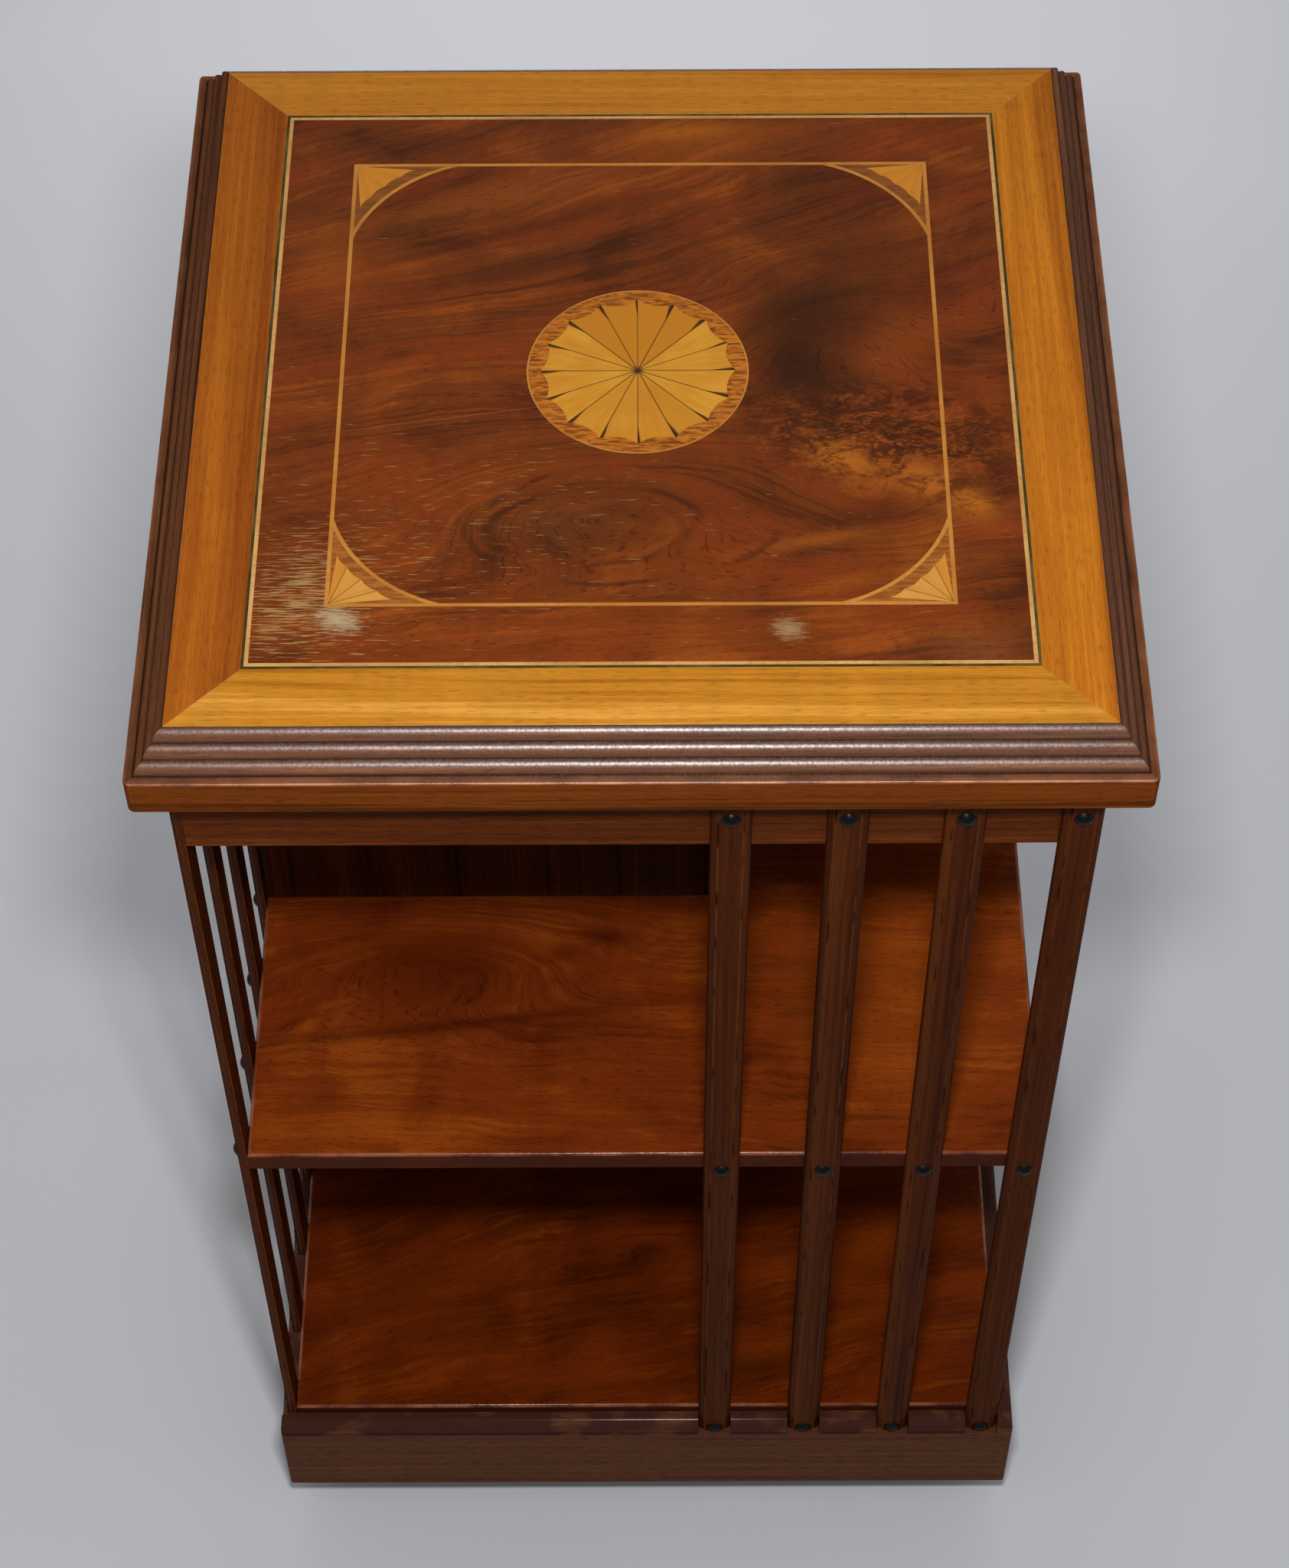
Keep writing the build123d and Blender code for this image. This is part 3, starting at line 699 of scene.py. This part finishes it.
for quarter, side in enumerate(sides):
    for i, centre in enumerate(slat_places):
        mesh = bmesh.new()
        line = wire(mesh, [(x, y, slat_low) for x, y in front])
        wire(mesh, [(x, y, slat_low) for x, y in back])
        for end, hand in ((line[0], 1), (line[-1], -1)):
            arc_centre = (hand * middle, -slat_back - depth, slat_low)
            bend(mesh, end, arc_centre, hand * sweep, steps=6, axis=(0, 0, 1))
        raise_section(mesh, (0, 0, slat_high - slat_low))
        upright = [e for e in mesh.edges if e.calc_length() > 2 * slat_width * mm]
        crisp = [e for e in upright if e.calc_face_angle() > math.radians(crisp_angle)]
        ease_arrises(mesh, slat_arris, crisp)
        bmesh.ops.translate(mesh, verts=mesh.verts, vec=(centre * mm, 0, 0))
        lay_grain(mesh, (0, 0, 1), (1, 0, 0), (41 + 0.9 * i + 5.3 * quarter, 0.37 * i, 0.2))
        turn(mesh, quarter)
        node = "slat_" + side + "_" + str(i + 1)
        fit(mesh, "moulded_" + node, slat_mahogany, [node])

# The studs
# Black dome-headed studs hold each slat to the frieze, the middle shelf and the skirt.
stud_radius = 4.95
stud_height = 3
stud_shank = 1.75
stud_length = 9
stud_sides = 24
stud_levels = {"upper": 776.75, "middle": 437, "lower": 107.5}

black_studs = metal_finish(
    "black stud", (10, 9, 8), (6, 5, 5), 0.3, 0.12,
    patches=260, bump=0.1, metallic=0.0, shine=0.16,
)
dome = (stud_radius**2 + stud_height**2) / (2 * stud_height)
sweep = math.degrees(math.asin(stud_radius / dome))
for row, level in stud_levels.items():
    mesh = bmesh.new()
    for quarter in range(4):
        for centre in slat_places:
            stud = bmesh.new()
            line = wire(stud, [(0, stud_length, 0), (stud_shank, stud_length, 0),
                               (stud_shank, 0, 0), (stud_radius, 0, 0)])
            bend(stud, line[-1], (0, dome - stud_height, 0), -sweep, steps=8, axis=(0, 0, 1))
            bmesh.ops.spin(
                stud, geom=stud.verts[:] + stud.edges[:], cent=(0, 0, 0), axis=(0, 1, 0),
                angle=math.tau, steps=stud_sides, use_merge=True,
            )
            bmesh.ops.remove_doubles(stud, verts=stud.verts, dist=join_distance * mm)
            bmesh.ops.recalc_face_normals(stud, faces=stud.faces)
            place = Vector((centre, -slat_back - slat_thickness, level)) * mm
            bmesh.ops.translate(stud, verts=stud.verts, vec=place)
            turn(stud, quarter)
            data = bpy.data.meshes.new("stud")
            stud.to_mesh(data)
            stud.free()
            mesh.from_mesh(data)
            bpy.data.meshes.remove(data)
    fit(mesh, "studs_" + row, black_studs, ["slat_studs_" + row])

# The carcase top, the pivot cup and the top board
# The carcase top closes the upper bays. Under it hangs the brass cup that turns on the head
# of the post, and over it lies the plain board that carries the veneers.
groundwork_arris = 0.2
groundwork_colours = ((150, 116, 78), (128, 96, 62), (98, 70, 44))

fit_board("carcase_top", "upper_board", case_mahogany)
refinish("pivot_cup", old_brass)

groundwork = wood_finish(
    "groundwork", groundwork_colours, groundwork_colours[0], gloss=0.6, coat=0.0,
    lines=60, wander=0.02, streaks=0.3, pores=0.3, ripple=0.1,
)
mesh = cad_copy("top_board")
ease_arrises(mesh, groundwork_arris)
lay_grain(mesh, (1, 0, 0), (0, 1, 0), (9.7, 2.4, 0.3))
fit(mesh, "veneer_board", groundwork, ["top_board"])

# The mahogany field
# One figured leaf of mahogany, cut by the inner boxwood line. Its figure runs from side to
# side round a long dark eye, with a burr at the right and worn polish in the near left corner.
top_level = 846
field_colours = ((140, 67, 15), (109, 49, 10), (74, 32, 6))
eye_size = (84, 40)
eye_rings = ((0.92, (-5, -101)), (0.6, (-24, -103)))
gold_spots = (((102, -60), (16, 10)), ((140, -74), (18, 11)), ((163, -88), (14, 9)))
pale_spots = (((71, -168), (11, 9), (160, 130, 88)), ((-146, -161), (15, 10), (180, 160, 124)))

mahogany_field, tree, surface = start_finish(
    "mahogany field", Specular_IOR_Level=0.06, Coat_Weight=0.2, Coat_Roughness=0.1
)
place = in_millimetres(tree, own_place(tree))
colour, _, x, y = figured_leaf(
    tree, place, field_colours,
    lean=-0.1, fanning=-0.32, spread=26, lines=0.055, streaks=0.45, fines=0.6,
    hills=[
        ((-20, -87), (86, 38), 3, -60),
        ((-105, -5), (75, 55), 0, -20),
        ((98, 20), (44, 40), 30, -34),
        ((112, -86), (36, 22), -30, 26),
    ],
    tints=[
        ((-64, 103), (90, 5), 19, 0.5, (58, 25, 5)),
        ((-60, 74), (95, 8), 19, 0.55, (58, 25, 5)),
        ((-130, 168), (40, 14), 0, 0.5, (66, 29, 6)),
        ((-40, 186), (50, 8), 0, 0.4, (72, 33, 8)),
        ((-70, 128), (70, 10), 18, 0.4, (150, 79, 23)),
        ((-160, 80), (22, 26), 10, 0.4, (146, 73, 20)),
        ((88, 116), (60, 12), 28, 0.4, (70, 29, 6)),
        ((108, 44), (48, 44), 20, 0.5, (62, 28, 8)),
        ((88, 46), (40, 24), 35, 0.8, (52, 24, 5)),
        ((78, 4), (18, 26), 15, 0.85, (44, 20, 4)),
        ((97, 2), (22, 22), 30, 0.7, (52, 23, 6)),
        ((106, -16), (44, 16), -10, 0.6, (52, 22, 5)),
        ((140, 26), (24, 16), 20, 0.4, (148, 71, 15)),
        ((126, 0), (14, 18), 20, 0.4, (138, 62, 12)),
        ((-34, -98), (66, 24), 4, 0.5, (72, 33, 7)),
        ((-120, -70), (40, 22), 10, 0.35, (138, 58, 13)),
        ((-20, -170), (120, 12), 0, 0.35, (132, 54, 12)),
        ((-44, -100), (26, 11), 4, 0.35, (82, 52, 20)),
        ((116, -96), (20, 12), 20, 0.6, (66, 27, 5)),
        ((86, -112), (34, 4), 12, 0.45, (162, 86, 18)),
        ((101, -138), (24, 4), 14, 0.45, (154, 77, 14)),
        ((60, -90), (30, 8), 0, 0.3, (76, 33, 6)),
        ((171, -104), (13, 8), 0, 0.5, (149, 61, 23)),
        ((26, 177), (30, 6), 5, 0.7, (168, 92, 17)),
        ((39, 168), (44, 14), 8, 0.35, (156, 79, 15)),
        ((147, 107), (26, 16), 30, 0.35, (148, 71, 15)),
        # Painted reflection: a pale greyish haze near the front right.
        ((160, -180), (24, 12), 0, 0.35, (116, 71, 38)),
        ((178, -30), (10, 30), 0, 0.4, (136, 62, 12)),
        ((174, -64), (14, 24), 10, 0.6, (54, 25, 6)),
    ],
)

# Two dark rings drawn round the eye.
for around, middle in eye_rings:
    oval = maths(tree, "LOGARITHM", hill(tree, x, y, middle, eye_size, 4), math.e)
    oval = maths(tree, "SQRT", product(tree, oval, -1))
    waver = noise(tree, place, 0.02, 2)
    oval = product(tree, waver, 0.3, plus=less(tree, oval, 0.15))
    ring = maths(tree, "ABSOLUTE", less(tree, oval, around))
    ring = ease(tree, ring, 0.01, 0.05, 0.6, 0)
    ring = product(tree, ring, ease(tree, noise(tree, place, 0.03, 2), 0.4, 0.6, 0.1, 1))
    colour = tint(tree, ring, colour, paint(53, 24, 6))

# The burr: dark and light flames with finer flakes in them, and spots of gold.
flame = noise(tree, stretch(tree, place, 0.05, 0.085, 1), 1, 7, 0.72, 0.6)
feather = noise(tree, stretch(tree, place, 0.2, 0.34, 1), 1, 4, 0.65, 1.2)
feather = less(tree, feather, 0.5)
flame = product(tree, feather, 0.25, plus=flame)
burr = ease(tree, hill(tree, x, y, (124, -40), (76, 36), -8), 0.15, 0.75)
shadows = product(tree, burr, ease(tree, flame, 0.56, 0.42, 0, 0.8))
colour = tint(tree, shadows, colour, paint(57, 24, 6))
flames = product(tree, burr, ease(tree, flame, 0.52, 0.68, 0, 0.6))
colour = tint(tree, flames, colour, paint(151, 70, 21))
flakes = hill(tree, x, y, (118, -50), (62, 24), -8)
pits = product(tree, flakes, ease(tree, feather, -0.02, -0.14, 0, 0.35))
colour = tint(tree, pits, colour, paint(54, 24, 8))
flakes = product(tree, flakes, ease(tree, feather, 0.03, 0.14, 0, 0.4))
colour = tint(tree, flakes, colour, paint(168, 90, 34))
for centre, size in gold_spots:
    gold = ease(tree, flame, 0.38, 0.56, 0.15, 0.95)
    gold = product(tree, hill(tree, x, y, centre, size, -25), gold)
    colour = tint(tree, gold, colour, paint(168, 93, 24))

# Pale dashes of wear, thickest in the near left corner, two pale spots and a scratch.
worn = hill(tree, x, y, (-164, -152), (40, 46), -20)
worn = product(tree, hill(tree, x, y, (-80, -100), (120, 80)), 0.42, plus=worn)
scratches = noise(tree, stretch(tree, place, 0.07, 1.2, 1), 1, 2, 0.6, 0.2)
scratches = product(tree, worn, 0.21, plus=scratches)
dashes = ease(tree, scratches, 0.71, 0.8, 0, 0.75)
colour = tint(tree, dashes, colour, paint(170, 134, 84))
ragged = noise(tree, stretch(tree, place, 0.12, 0.8, 1), 1, 5, 0.75)
for centre, size, shade in pale_spots:
    pale_patch = hill(tree, x, y, centre, size, -25)
    pale_patch = product(tree, ragged, 2.2, plus=pale_patch)
    colour = tint(tree, ease(tree, pale_patch, 1.5, 2.2, 0, 0.8), colour, paint(*shade))
line = product(tree, x, -0.16, plus=less(tree, y, -15))
line = ease(tree, maths(tree, "ABSOLUTE", line), 0.4, 0.1, 0, 0.28)
line = product(tree, line, hill(tree, x, y, (-90, -29), (60, 20)))
colour = tint(tree, line, colour, paint(174, 122, 60))
polish(tree, surface, colour, own_place(tree), dashes, 0.28, 0.12, swell=0.5)
refinish("field_veneer", mahogany_field)

# The satinwood banding
# Four bands of golden satinwood, mitred at the corners, run round the top inside the moulding.
banding_outer = 225.2
banding_inner = 190.9
banding_depth = 1
banding_arris = 0.15
mitre = 0.06
band_worn = (232, 176, 96)
band_colours = {
    "front": ((212, 148, 58), (186, 121, 31), (160, 95, 18)),
    "right": ((198, 121, 27), (178, 103, 21), (155, 83, 14)),
    "back": ((202, 133, 43), (186, 116, 33), (166, 96, 23)),
    "left": ((174, 97, 22), (153, 80, 16), (133, 63, 10)),
}

for quarter, side in enumerate(sides):
    satinwood = wood_finish(
        side + " satinwood", band_colours[side], band_worn,
        gloss=0.22, haze=0.06, shine=0.04, coat=0.2,
        lines=48, wander=0.05, streaks=0.4, pores=0.3, ripple=0.24 if side == "front" else 0.14,
    )
    mesh = bmesh.new()
    corners = [(-banding_outer + mitre, -banding_outer), (banding_outer - mitre, -banding_outer)]
    corners += [(banding_inner - mitre, -banding_inner), (-banding_inner + mitre, -banding_inner)]
    wire(mesh, [(x, y, top_level - banding_depth) for x, y in corners + corners[:1]])
    raise_section(mesh, (0, 0, banding_depth))
    ease_arrises(mesh, banding_arris)
    lay_grain(mesh, (1, 0, 0), (0, 1, 0), (51 + 3.1 * quarter, 0.9 * quarter, 0.4))
    turn(mesh, quarter)
    nodes = ["satinwood_banding"] if side == "front" else []
    fit(mesh, "band_" + side, satinwood, nodes)

# The lines
# A dark line and a boxwood line lie inside the banding, a second boxwood line frames the
# panel, and thin boxwood rims the medallion and the fans.
between_lines = 170


def start_inlay(name):
    """A new inlay wood under a thin polish, and the place on it."""
    finish, tree, surface = start_finish(
        name, Specular_IOR_Level=0.04, Coat_Weight=0.2, Coat_Roughness=0.1
    )
    return finish, tree, surface, own_place(tree)


boxwood, tree, surface, place = start_inlay("boxwood")
grime = ease(tree, noise(tree, place, 30, 4), 0.35, 0.7)
x, y, _ = apart(tree, place)
outer = maths(tree, "GREATER_THAN", square_reach(tree, x, y), between_lines * mm)
inner_tone = tint(tree, grime, paint(192, 128, 52), paint(175, 110, 40))
outer_tone = tint(tree, grime, paint(206, 158, 96), paint(184, 134, 70))
colour = tint(tree, outer, inner_tone, outer_tone)
fleck = ease(tree, noise(tree, place, 420, 2), 0.45, 0.7, 0, 0.4)
colour = tint(tree, fleck, colour, paint(158, 108, 64))
polish(tree, surface, colour, place, 0, 0.28, swell=0.3)
refinish("boxwood_lines", boxwood)

dark_dye, tree, surface, place = start_inlay("dark dyed line")
fading = ease(tree, noise(tree, place, 60, 4), 0.4, 0.7)
colour = tint(tree, fading, paint(62, 50, 22), paint(92, 78, 38))
polish(tree, surface, colour, place, 0, 0.32, swell=0.3)
refinish("dark_line", dark_dye)

# The fans
# Quarter fans of four shaded satinwood petals fill the corners of the panel, each on a
# strip of walnut inside a boxwood arc.
panel_half = 151
fold_angles = (19, 45, 71)
fan_shoulder = 34


def distance(tree, x, y):
    """How far a place lies from the middle."""
    return maths(tree, "SQRT", product(tree, x, x, plus=product(tree, y, y)))


fan_wood, tree, surface, place = start_inlay("shaded fan")
x, y, _ = apart(tree, in_millimetres(tree, place))
across = less(tree, panel_half, maths(tree, "ABSOLUTE", x))
along = less(tree, panel_half, maths(tree, "ABSOLUTE", y))
angle = product(tree, maths(tree, "ARCTAN2", along, across), 180 / math.pi)
reach = distance(tree, across, along)
mottle = noise(tree, place, 60, 3)
colour = tint(tree, mottle, paint(197, 132, 50), paint(211, 151, 70))
ribs = add(tree, "CombineXYZ", {0: product(tree, angle, 0.5)}).outputs[0]
ribs = ease(tree, noise(tree, ribs, 1, 2), 0.45, 0.65, 0, 0.35)
colour = tint(tree, ribs, colour, paint(164, 100, 41))
deep = maths(tree, "MAXIMUM", ease(tree, angle, 60, 80, 0, 0.7), ease(tree, y, -20, 20, 0, 0.8))
colour = tint(tree, deep, colour, paint(200, 125, 34))
for fold in fold_angles:
    off = product(tree, less(tree, angle, fold), math.pi / 180)
    off = product(tree, off, reach)
    front = ease(tree, y, 20, -20, 0.15, 0.65)
    near = product(tree, ease(tree, maths(tree, "ABSOLUTE", off), 0.4, 0.1), front)
    colour = tint(tree, near, colour, paint(84, 50, 25))
    shade = product(tree, ease(tree, off, 6, 0), maths(tree, "GREATER_THAN", off, 0))
    shade = product(tree, shade, ease(tree, reach, 8, 40, 0.1, 0.4))
    colour = tint(tree, shade, colour, paint(138, 85, 32))
    spread = ease(tree, reach, fan_shoulder, fan_shoulder + 11, 0.1, 2.2)
    burn = ease(tree, maths(tree, "DIVIDE", maths(tree, "ABSOLUTE", off), spread), 1, 0.4)
    burn = product(tree, burn, ease(tree, reach, fan_shoulder, fan_shoulder + 10, 0, 0.85))
    colour = tint(tree, burn, colour, paint(53, 32, 21))
polish(tree, surface, colour, place, 0, 0.26)
refinish("fan_petals", fan_wood)

walnut_ground, tree, surface, place = start_inlay("walnut ground")
grain = noise(tree, stretch(tree, place, 60, 420, 1), 1, 3, 0.6)
colour = tint(tree, ease(tree, grain, 0.38, 0.62), paint(130, 72, 27), paint(164, 96, 38))
back = ease(tree, apart(tree, place)[1], -0.05, 0.05, 0, 0.5)
colour = tint(tree, back, colour, paint(102, 58, 27))
polish(tree, surface, colour, place, 0, 0.28)
refinish("fan_grounds", walnut_ground)

# The medallion
# Sixteen satinwood petals meet at a dark hub. Each is scorched in hot sand along one side,
# and their hollow ends lie on a ring of curly walnut.
medallion_middle = (-1.4, 1.6)
petal_count = 16
petal_shoulder = 36
petal_tip = 51
browner_petals = ((2, 5, 0.9), (12, 13, 0.6), (10, 11, 0.4))

petal_wood, tree, surface, place = start_inlay("shaded petals")
x, y, _ = apart(tree, in_millimetres(tree, place))
x = less(tree, x, medallion_middle[0])
y = less(tree, y, medallion_middle[1])
reach = distance(tree, x, y)
turns = product(tree, maths(tree, "ARCTAN2", y, x), petal_count / math.tau)
turns = maths(tree, "ADD", turns, petal_count)
number = maths(tree, "FLOOR", turns)
share = less(tree, turns, number)
number = maths(tree, "MODULO", number, petal_count)
mottle = noise(tree, place, 45, 3)
inputs = {0: product(tree, turns, 9), 1: product(tree, reach, 0.04)}
fibres = noise(tree, add(tree, "CombineXYZ", inputs).outputs[0], 1, 2)
mottle = add(tree, "Mix", {0: 0.5, 2: mottle, 3: fibres}).outputs[0]
colour = tint(tree, ease(tree, mottle, 0.35, 0.65), paint(192, 127, 35), paint(205, 144, 48))
for first, last, amount in browner_petals:
    after = maths(tree, "GREATER_THAN", number, first - 0.5)
    inside = product(tree, after, maths(tree, "LESS_THAN", number, last + 0.5))
    colour = tint(tree, product(tree, inside, amount), colour, paint(184, 116, 30))
scorch = add(tree, "TexWhiteNoise", {"W": number}, noise_dimensions="1D").outputs[0]
scorch = product(tree, scorch, 0.6, plus=0.5)
step = math.tau / petal_count
past = product(tree, product(tree, share, step), reach)
short = product(tree, product(tree, less(tree, 1, share), step), reach)
width = maths(tree, "ADD", 0.35, ease(tree, reach, petal_shoulder, petal_tip, 0, 2.4))
width = product(tree, width, scorch)
burn = ease(tree, maths(tree, "DIVIDE", past, width), 1.3, 0.5, 0, 0.95)
colour = tint(tree, burn, colour, paint(43, 25, 14))
seam = ease(tree, maths(tree, "MINIMUM", past, short), 0.4, 0.1, 0, 0.65)
colour = tint(tree, seam, colour, paint(71, 42, 23))
hub = product(tree, noise(tree, place, 400, 2), 4, plus=reach)
colour = tint(tree, ease(tree, hub, 5.8, 2.5, 0, 0.75), colour, paint(58, 39, 27))
polish(tree, surface, colour, place, 0, 0.26)
refinish("medallion_petals", petal_wood)

curly_walnut, tree, surface, place = start_inlay("curly walnut")
curl = noise(tree, stretch(tree, place, 120, 620, 1), 1, 3, 0.6, 0.6)
colour = tint(tree, ease(tree, curl, 0.36, 0.62), paint(119, 62, 18), paint(188, 110, 33))
polish(tree, surface, colour, place, 0, 0.28)
refinish("medallion_ground", curly_walnut)

# The edge moulding
# Four lengths of dark mahogany, mitred at the corners: three reeds down a slope, darkened
# towards their grooves with dirt and painted shade, a lip whose arris is worn and carries a
# painted highlight, drawn lighter or darker on each side as the light falls, and a flat fascia
# under it.
moulding_inner = banding_outer
moulding_outer = 245
moulding_foot = 805
lip_level = 826.5
lip_width = 4.3
lip_step = 0.9
lip_radius = 1
reed_quirk = 1
reed_rise = 1.75
reeds = 3
corner_radius = 4
corner_angles = (7.5, 22.5, 37.5)
groove_dirt_and_shade_width = 2.2
slack = 0.1
cut_slack = 0.001
reed_colours = ((133, 82, 50), (102, 60, 37), (68, 39, 23))
lip_worn_and_highlight = (190, 126, 82)
# Painted light: each side's lip takes its own share of fascia colour and of highlight, lighter on
# the front and darker on the left.
lip_side_light = {"front": 0.5, "right": 0.35, "back": 0.3, "left": 0.05}
reed_gleam = {"front": 1, "right": 0.3, "back": 0.4, "left": 0.07}
fascia_gleam = 0.06
fascia_colours = ((140, 71, 21), (117, 57, 14), (83, 38, 7))


def cut_off(mesh, point, outwards):
    """Cuts away what lies beyond a plane, and closes the cut."""
    cut = bmesh.ops.bisect_plane(
        mesh, geom=mesh.verts[:] + mesh.edges[:] + mesh.faces[:], dist=cut_slack * mm,
        plane_co=point, plane_no=outwards, clear_outer=True,
    )
    cut_edges = [item for item in cut["geom_cut"] if isinstance(item, bmesh.types.BMEdge)]
    bmesh.ops.edgeloop_fill(mesh, edges=[e for e in cut_edges if e.is_boundary])


dark_mahogany, tree, surface = start_finish(
    "moulding mahogany", Specular_IOR_Level=0.0, Coat_Roughness=0.36, Coat_IOR=1.75
)
place = carried(tree, "grain", "Vector")
woods = []
for colours, lines in ((reed_colours, 120), (fascia_colours, 90)):
    woods.append(figured(tree, place, colours, lines=lines, wander=0.012, streaks=0.45,
                         pores=0.35, ripple=0.12)["Color"])
colour = tint(tree, carried(tree, "fascia"), *woods)
# The reeds darken towards their grooves: dirt in the grooves, and painted shade.
colour = tint(tree, product(tree, carried(tree, "groove_dirt_and_shade"), 0.8), colour, paint(26, 13, 9))
colour = tint_arrises(tree, colour, lip_worn_and_highlight, carried(tree, "arris"), place, 0.8)
pebble = ease(tree, noise(tree, place, 700, 2), 0.35, 0.65, 0.5, 1)
tree.links.new(product(tree, pebble, carried(tree, "gleam")), surface["Coat Weight"])
polish(tree, surface, colour, place, 0, 0.34, 0.1, swell=0.8, bump=0.3)

x = -moulding_outer - 1
lip_inner = moulding_outer - lip_width
lip_foot = lip_level - lip_step
reeds_end = lip_inner - reed_quirk
run = (reeds_end - moulding_inner) / reeds
drop = (top_level - lip_level + lip_step) / reeds
slope = math.hypot(run, drop)
radius = (slope**2 / 4 + reed_rise**2) / (2 * reed_rise)
away = radius - reed_rise
sweep = 2 * math.degrees(math.asin(slope / 2 / radius))
round_centre = (x, -moulding_outer + lip_radius, lip_level - lip_radius)
corner = moulding_outer - corner_radius
grooves = [(moulding_inner + run * i, top_level - drop * i) for i in range(reeds + 1)]
grooves.append((lip_inner, lip_foot))
for quarter, side in enumerate(sides):
    mesh = bmesh.new()
    start = mesh.verts.new(Vector((x, -moulding_inner, top_level)) * mm)
    for y, z in grooves[:reeds]:
        centre = (x, -y - run / 2 + away * drop / slope, z - drop / 2 - away * run / slope)
        start = bend(mesh, start, centre, sweep, steps=10, axis=(1, 0, 0))
    line = wire(mesh, [(x, -reeds_end, lip_foot), (x, -lip_inner, lip_foot),
                       (x, -lip_inner, lip_level), (x, -moulding_outer + lip_radius, lip_level)])
    bend(mesh, line[-1], round_centre, 90, steps=5, axis=(1, 0, 0))
    wire(mesh, [(x, -moulding_outer, lip_level - lip_radius), (x, -moulding_outer, moulding_foot),
                (x, -moulding_inner, moulding_foot), (x, -moulding_inner, top_level)])
    raise_section(mesh, (-2 * x, 0, 0))
    for hand in (-1, 1):
        for angle in corner_angles:
            sine, cosine = math.sin(math.radians(angle)), math.cos(math.radians(angle))
            point = (hand * (corner + corner_radius * sine), -corner - corner_radius * cosine, 0)
            cut_off(mesh, Vector(point) * mm, (hand * sine, -cosine, 0))
        cut_off(mesh, (-hand * mitre * mm, 0, 0), (hand, 1, 0))
    bmesh.ops.recalc_face_normals(mesh, faces=mesh.faces)
    layers = mesh.faces.layers.float
    arris, fascia, gleam = [layers.new(name) for name in ("arris", "fascia", "gleam")]
    # Each point's nearness to a groove sets the dirt and painted shade there.
    groove_dirt_and_shade = mesh.verts.layers.float.new("groove_dirt_and_shade")
    for point in mesh.verts:
        y, z = -point.co.y / mm, point.co.z / mm
        near = min(math.hypot(y - a, z - b) for a, b in grooves)
        point[groove_dirt_and_shade] = max(0, 1 - near / groove_dirt_and_shade_width) if z > lip_foot - slack else 0
    for face in mesh.faces:
        middle = face.calc_center_median() / mm
        upright = middle.z < lip_level - lip_radius
        flat = abs(middle.z - lip_level) < slack
        rounded = not upright and middle.z < lip_level - slack and middle.y < -lip_inner - 1
        # The lip's colour and arris highlight on each side are painted light.
        face[fascia] = 1 if upright else lip_side_light[side] if rounded or flat else 0
        face[gleam] = fascia_gleam if upright else reed_gleam[side]
        face[arris] = (1 if rounded else 0.2 if flat else 0) * (0.4 + lip_side_light[side])
    lay_grain(mesh, (1, 0, 0), (0, 0, 1), (61 + 2.1 * quarter, 0.7 * quarter, 0.6))
    turn(mesh, quarter)
    node = "edge_moulding_" + side
    fit(mesh, "reeded_edge_" + side, dark_mahogany, [node])
